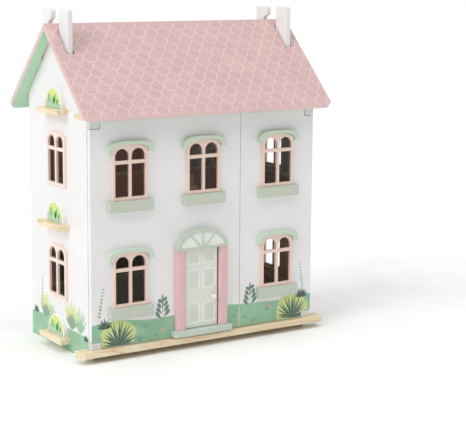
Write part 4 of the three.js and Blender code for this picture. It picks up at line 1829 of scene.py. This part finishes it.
@dataclass
class Entrance:
    """Doorstep, pilasters, fanlight, and the small door with its panels and knob."""

    plane: Plane
    finishes: Finishes
    lining: float = 0.00012
    pilaster_round: float = 0.005
    pilaster_soft: float = 0.0005
    ring: float = 0.008
    crown: float = 0.001
    overlap: float = 0.0003
    bar: float = 0.004
    spoke: float = 0.0024
    recess: float = 0.0012
    fan_soft: float = 0.0005
    step_soft: float = 0.0022
    leaf_soft: float = 0.0008
    stile: float = 0.0045
    rail: float = 0.0070
    panel_rows: tuple[Point, ...] = ((0.008, 0.0465), (0.0715, 0.1095), (0.1185, 0.1405))
    moulding: float = 0.0020
    relief: float = 0.0006
    knob_radius: float = 0.005
    stem_radius: float = 0.0026

    def build(self) -> None:
        """Builds all of it."""
        self.step()
        for side in ("left", "right"):
            self.pilaster(f"entrance_{side}_pilaster")
        self.fanlight()
        self.leaf()
        self.knob()

    def step(self) -> None:
        """Builds the doorstep."""
        node, soft = "entrance_step", self.step_soft
        a0, a1, b0, b1, deep = self.plane.span(node)
        block = rectangle(a0, a1, b0, b1, soft)
        moulded(node + "_block", node, self.finishes.step_mint, self.plane, block, deep, soft)

    def pilaster(self, node: str) -> None:
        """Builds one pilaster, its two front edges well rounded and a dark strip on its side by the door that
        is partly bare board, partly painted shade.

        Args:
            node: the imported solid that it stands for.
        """
        low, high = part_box(node)
        r = self.pilaster_round
        outline = arc((low.x + r, low.y + r), (r, r), 180, 270, 12)
        outline += arc((high.x - r, low.y + r), (r, r), 270, 360, 12)
        outline += [(high.x, high.y), (low.x, high.y)]
        soft = self.pilaster_soft
        moulded(
            node + "_rounded", node, self.finishes.pink, facing_up(low.z), outline, high.z - low.z, soft,
            back_soft=soft,
        )
        # A thin dark brown sheet on the side by the door: painted shade over the bare board edge.
        inner = high.x if node == "entrance_left_pilaster" else low.x
        lining = Stock()
        edges = (inner - self.lining, inner + self.lining, low.y + r, high.y)
        soft = self.lining / 4
        lining.plate(facing_up(low.z + r / 2), rectangle(*edges, soft), [], high.z - low.z - r, soft)
        rides_like(lining.piece(node + "_bare_edge", [self.finishes.cut]), node)

    def fanlight(self) -> None:
        """Builds the fanlight, an elliptical board with four shallow pale lights between three spokes."""
        node = "entrance_pediment"
        a0, a1, b0, b1, deep = self.plane.span(node)
        middle, half, rise = (a0 + a1) / 2, (a1 - a0) / 2, b1 - b0
        outline = arc((middle, b0), (half, rise), 0, 180, 64)
        radii = (half - self.ring, rise - self.ring + self.crown)
        lights = 4
        holes = [self.pane(middle, b0, radii, i, lights) for i in range(lights)]
        back = deep - self.recess
        stock = Stock()
        stock.plate(self.plane, outline, [], back, self.overlap * 2 / 3)
        front = self.plane.raised(back - self.overlap)
        stock.plate(front, outline, holes, self.recess + self.overlap, self.fan_soft)
        stands_for(stock.piece("entrance_fanlight", [self.finishes.fan_mint]), node)
        sheet = PrintSheet(self.plane.raised(back), [(a0, a1, b0 + self.bar / 2, b1)])
        lights_reach = (radii[0] + 2 * self.overlap, radii[1] + 2 * self.overlap)
        sheet.add(arc((middle, b0), lights_reach, 0, 180, 48), Ink.LIGHT)
        sheet.build("entrance_fanlight_lights", node)

    def pane(self, middle: float, foot: float, radii: Point, number: int, count: int) -> Loop:
        """Outline of one opening between two spokes.

        Args:
            middle: centre line of the fanlight.
            foot: height of its lower edge.
            radii: half width and half height of the open ellipse.
            number: which opening, from the right.
            count: number of openings.

        Returns:
            The outline: a sharp corner by the spokes' foot, then the rim.
        """
        step = math.pi / count
        start, end = number * step, (number + 1) * step
        half_spoke = self.spoke / 2
        from_gap = self.bar if number == 0 else half_spoke
        to_gap = self.bar if number == count - 1 else half_spoke
        reach = (from_gap + to_gap) / 2 / math.sin(step / 2) + 0.0015
        bisector = (start + end) / 2
        corner = (reach * math.cos(bisector), reach * math.sin(bisector))
        if self.bar in (from_gap, to_gap):
            corner = (corner[0], max(corner[1], self.bar))
        first = self.rim_angle(start, from_gap, radii)
        last = math.pi - self.rim_angle(math.pi - end, to_gap, radii)
        rim = arc((middle, foot), radii, math.degrees(first), math.degrees(last), 14)
        return [(middle + corner[0], foot + corner[1])] + rim

    @staticmethod
    def rim_angle(lean: float, gap: float, radii: Point) -> float:
        """Where a line beside a spoke meets the open ellipse.

        Args:
            lean: direction of the spoke.
            gap: distance of the line from the spoke's middle, on the side of greater angles.
            radii: half width and half height of the ellipse.

        Returns:
            The ellipse's own angle there.
        """
        px, py = -gap * math.sin(lean), gap * math.cos(lean)
        dx, dy = math.cos(lean), math.sin(lean)
        a, b = radii
        qa = (dx / a) ** 2 + (dy / b) ** 2
        qb = 2 * (px * dx / a**2 + py * dy / b**2)
        qc = (px / a) ** 2 + (py / b) ** 2 - 1
        t = (-qb + math.sqrt(qb * qb - 4 * qa * qc)) / (2 * qa)
        return math.atan2((py + t * dy) / b, (px + t * dx) / a)

    def leaf(self) -> None:
        """Builds the small door with six moulded panels."""
        node = "entrance_door"
        low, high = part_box(node)
        plane = facing_front(high.y)
        a0, a1, b0, b1, deep = plane.span(node)
        stock = Stock()
        soft = self.leaf_soft
        stock.plate(plane, rectangle(a0, a1, b0, b1, soft), [], deep, soft, soft)
        front = plane.raised(deep - 0.0001)
        width = (a1 - a0 - 2 * self.stile - self.rail) / 2
        panels = PrintSheet(plane.raised(deep), [(a0, a1, b0, b1)])
        for column in range(2):
            left = a0 + self.stile + column * (width + self.rail)
            for bottom, top in self.panel_rows:
                outer, inner, panel = (
                    rectangle(left + m, left + width - m, b0 + bottom + m, b0 + top - m, corner)
                    for m, corner in ((0.0, 0.0010), (self.moulding, 0.0006), (2 * self.moulding, 0.0006))
                )
                stock.plate(front, outer, [inner], self.relief, self.relief / 2, slot=1)
                panels.add(panel, Ink.PANEL)
                panels.fresh()
        finishes = (self.finishes.pale_mint, self.finishes.panel_line)
        stands_for(stock.piece("entrance_door_panelled", finishes), node)
        panels.build("entrance_door_panel_print", node)

    def knob(self) -> None:
        """Builds the ball knob on its stem."""
        node = "door_knob"
        low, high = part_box(node)
        plane = facing_front(high.y)
        reach = high.y - low.y
        radius, stem = self.knob_radius, self.stem_radius
        centre = reach - radius
        start = math.asin(stem / radius)
        profile = [(0.0, 0.0), (stem * 1.5, 0.0), (stem * 1.5, 0.0004), (stem, 0.0010)]
        rings = 18
        for i in range(rings + 1):
            turn = start + (math.pi - start) * i / rings
            profile.append((radius * math.sin(turn), centre - radius * math.cos(turn)))
        profile[-1] = (0.0, reach)
        stock = Stock()
        stock.turned(plane, ((low.x + high.x) / 2, (low.z + high.z) / 2), profile)
        stands_for(stock.piece("door_knob_turned", [self.finishes.knob]), node)


# ---------------------------------------------------------------- studio


@dataclass
class Studio:
    """Pale floor, soft lights and the camera."""

    camera_place: tuple[float, float, float] = (-1.290, -2.141, 0.671)
    yaw: float = 31.12
    pitch: float = 9.04
    lens: float = 102.36
    shift: Point = (0.131, -0.0633)
    floor_half: float = 60.0
    lamps: tuple[tuple[str, tuple[float, float, float], float, float], ...] = (
        ("key_light", (-0.78, -0.12, 0.62), 1.38, 40.0),
        ("top_light", (0.05, -0.12, 1.0), 1.44, 70.0),
    )
    sky_strength: float = 0.41

    def build(self) -> None:
        """Builds all of it."""
        self.floor()
        self.sky()
        for name, towards, strength, spread in self.lamps:
            self.lamp(name, towards, strength, spread)
        self.camera()
        bpy.context.scene.view_settings.view_transform = "Standard"

    def floor(self) -> None:
        """Lays the floor."""
        half = self.floor_half
        mesh = bpy.data.meshes.new("studio_floor")
        corners = [(-half, -half, 0), (half, -half, 0), (half, half, 0), (-half, half, 0)]
        mesh.from_pydata(corners, [], [(0, 1, 2, 3)])
        mesh.materials.append(Paint("#fdfdfd", 0.7, skin=0.00002).material("floor_paper"))
        floor = bpy.data.objects.new("studio_floor", mesh)
        bpy.context.scene.collection.objects.link(floor)

    def sky(self) -> None:
        """Fills the room with even light, and shows plain white beyond the floor."""
        world = bpy.data.worlds.new("studio")
        bpy.context.scene.world = world
        world.use_nodes = True
        nodes, links = world.node_tree.nodes, world.node_tree.links
        even = nodes["Background"]
        even.inputs["Strength"].default_value = self.sky_strength
        seen = nodes.new("ShaderNodeBackground")
        for background in (even, seen):
            background.inputs["Color"].default_value = (1.0, 1.0, 1.0, 1.0)
        choice = nodes.new("ShaderNodeMixShader")
        links.new(nodes.new("ShaderNodeLightPath").outputs["Is Camera Ray"], choice.inputs[0])
        links.new(even.outputs[0], choice.inputs[1])
        links.new(seen.outputs[0], choice.inputs[2])
        links.new(choice.outputs[0], nodes["World Output"].inputs["Surface"])

    @staticmethod
    def lamp(name: str, towards: tuple[float, float, float], strength: float, spread: float) -> None:
        """Adds one broad distant lamp.

        Args:
            name: its name.
            towards: direction from the house to the lamp.
            strength: its strength.
            spread: how broad it looks from the house, in degrees.
        """
        data = bpy.data.lights.new(name, "SUN")
        data.energy = strength
        data.angle = math.radians(spread)
        lamp = bpy.data.objects.new(name, data)
        lamp.location = Vector(towards).normalized() * 3
        lamp.rotation_euler = (-Vector(towards)).to_track_quat("-Z", "Y").to_euler()
        bpy.context.scene.collection.objects.link(lamp)

    def camera(self) -> None:
        """Sets up the camera."""
        data = bpy.data.cameras.new("camera")
        data.lens = self.lens
        data.shift_x, data.shift_y = self.shift
        camera = bpy.data.objects.new("camera", data)
        camera.location = self.camera_place
        camera.rotation_euler = (math.radians(90 - self.pitch), 0.0, math.radians(-self.yaw))
        bpy.context.scene.collection.objects.link(camera)
        bpy.context.scene.camera = camera


def main() -> None:
    """Builds the house from its carcass outwards, then the studio."""
    logging.basicConfig(level=logging.INFO, format="%(name)s: %(message)s")
    finishes = Finishes()
    Carcass(finishes).build()
    SideGarden().build()
    FrontDoors(finishes).build()
    Roof().build()
    wall_face = facing_front(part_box("left_front_door")[0].y)
    for name in ("upper_left", "upper_middle", "upper_right", "lower_left", "lower_right"):
        FrontWindow(name, wall_face, finishes).build()
    for side, sign in (("left", -1), ("right", 1)):
        low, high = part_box(side + "_side_wall")
        side_face = facing_side(low.x if sign < 0 else high.x, sign)
        for level in ("upper", "lower"):
            Window(f"{side}_side_{level}", side_face, finishes).build()
        for level in ("attic", "upper", "lower"):
            Planter(f"{side}_{level}", side_face, finishes).build()
    Entrance(wall_face, finishes).build()
    Studio().build()


if __name__ == "__main__":
    main()
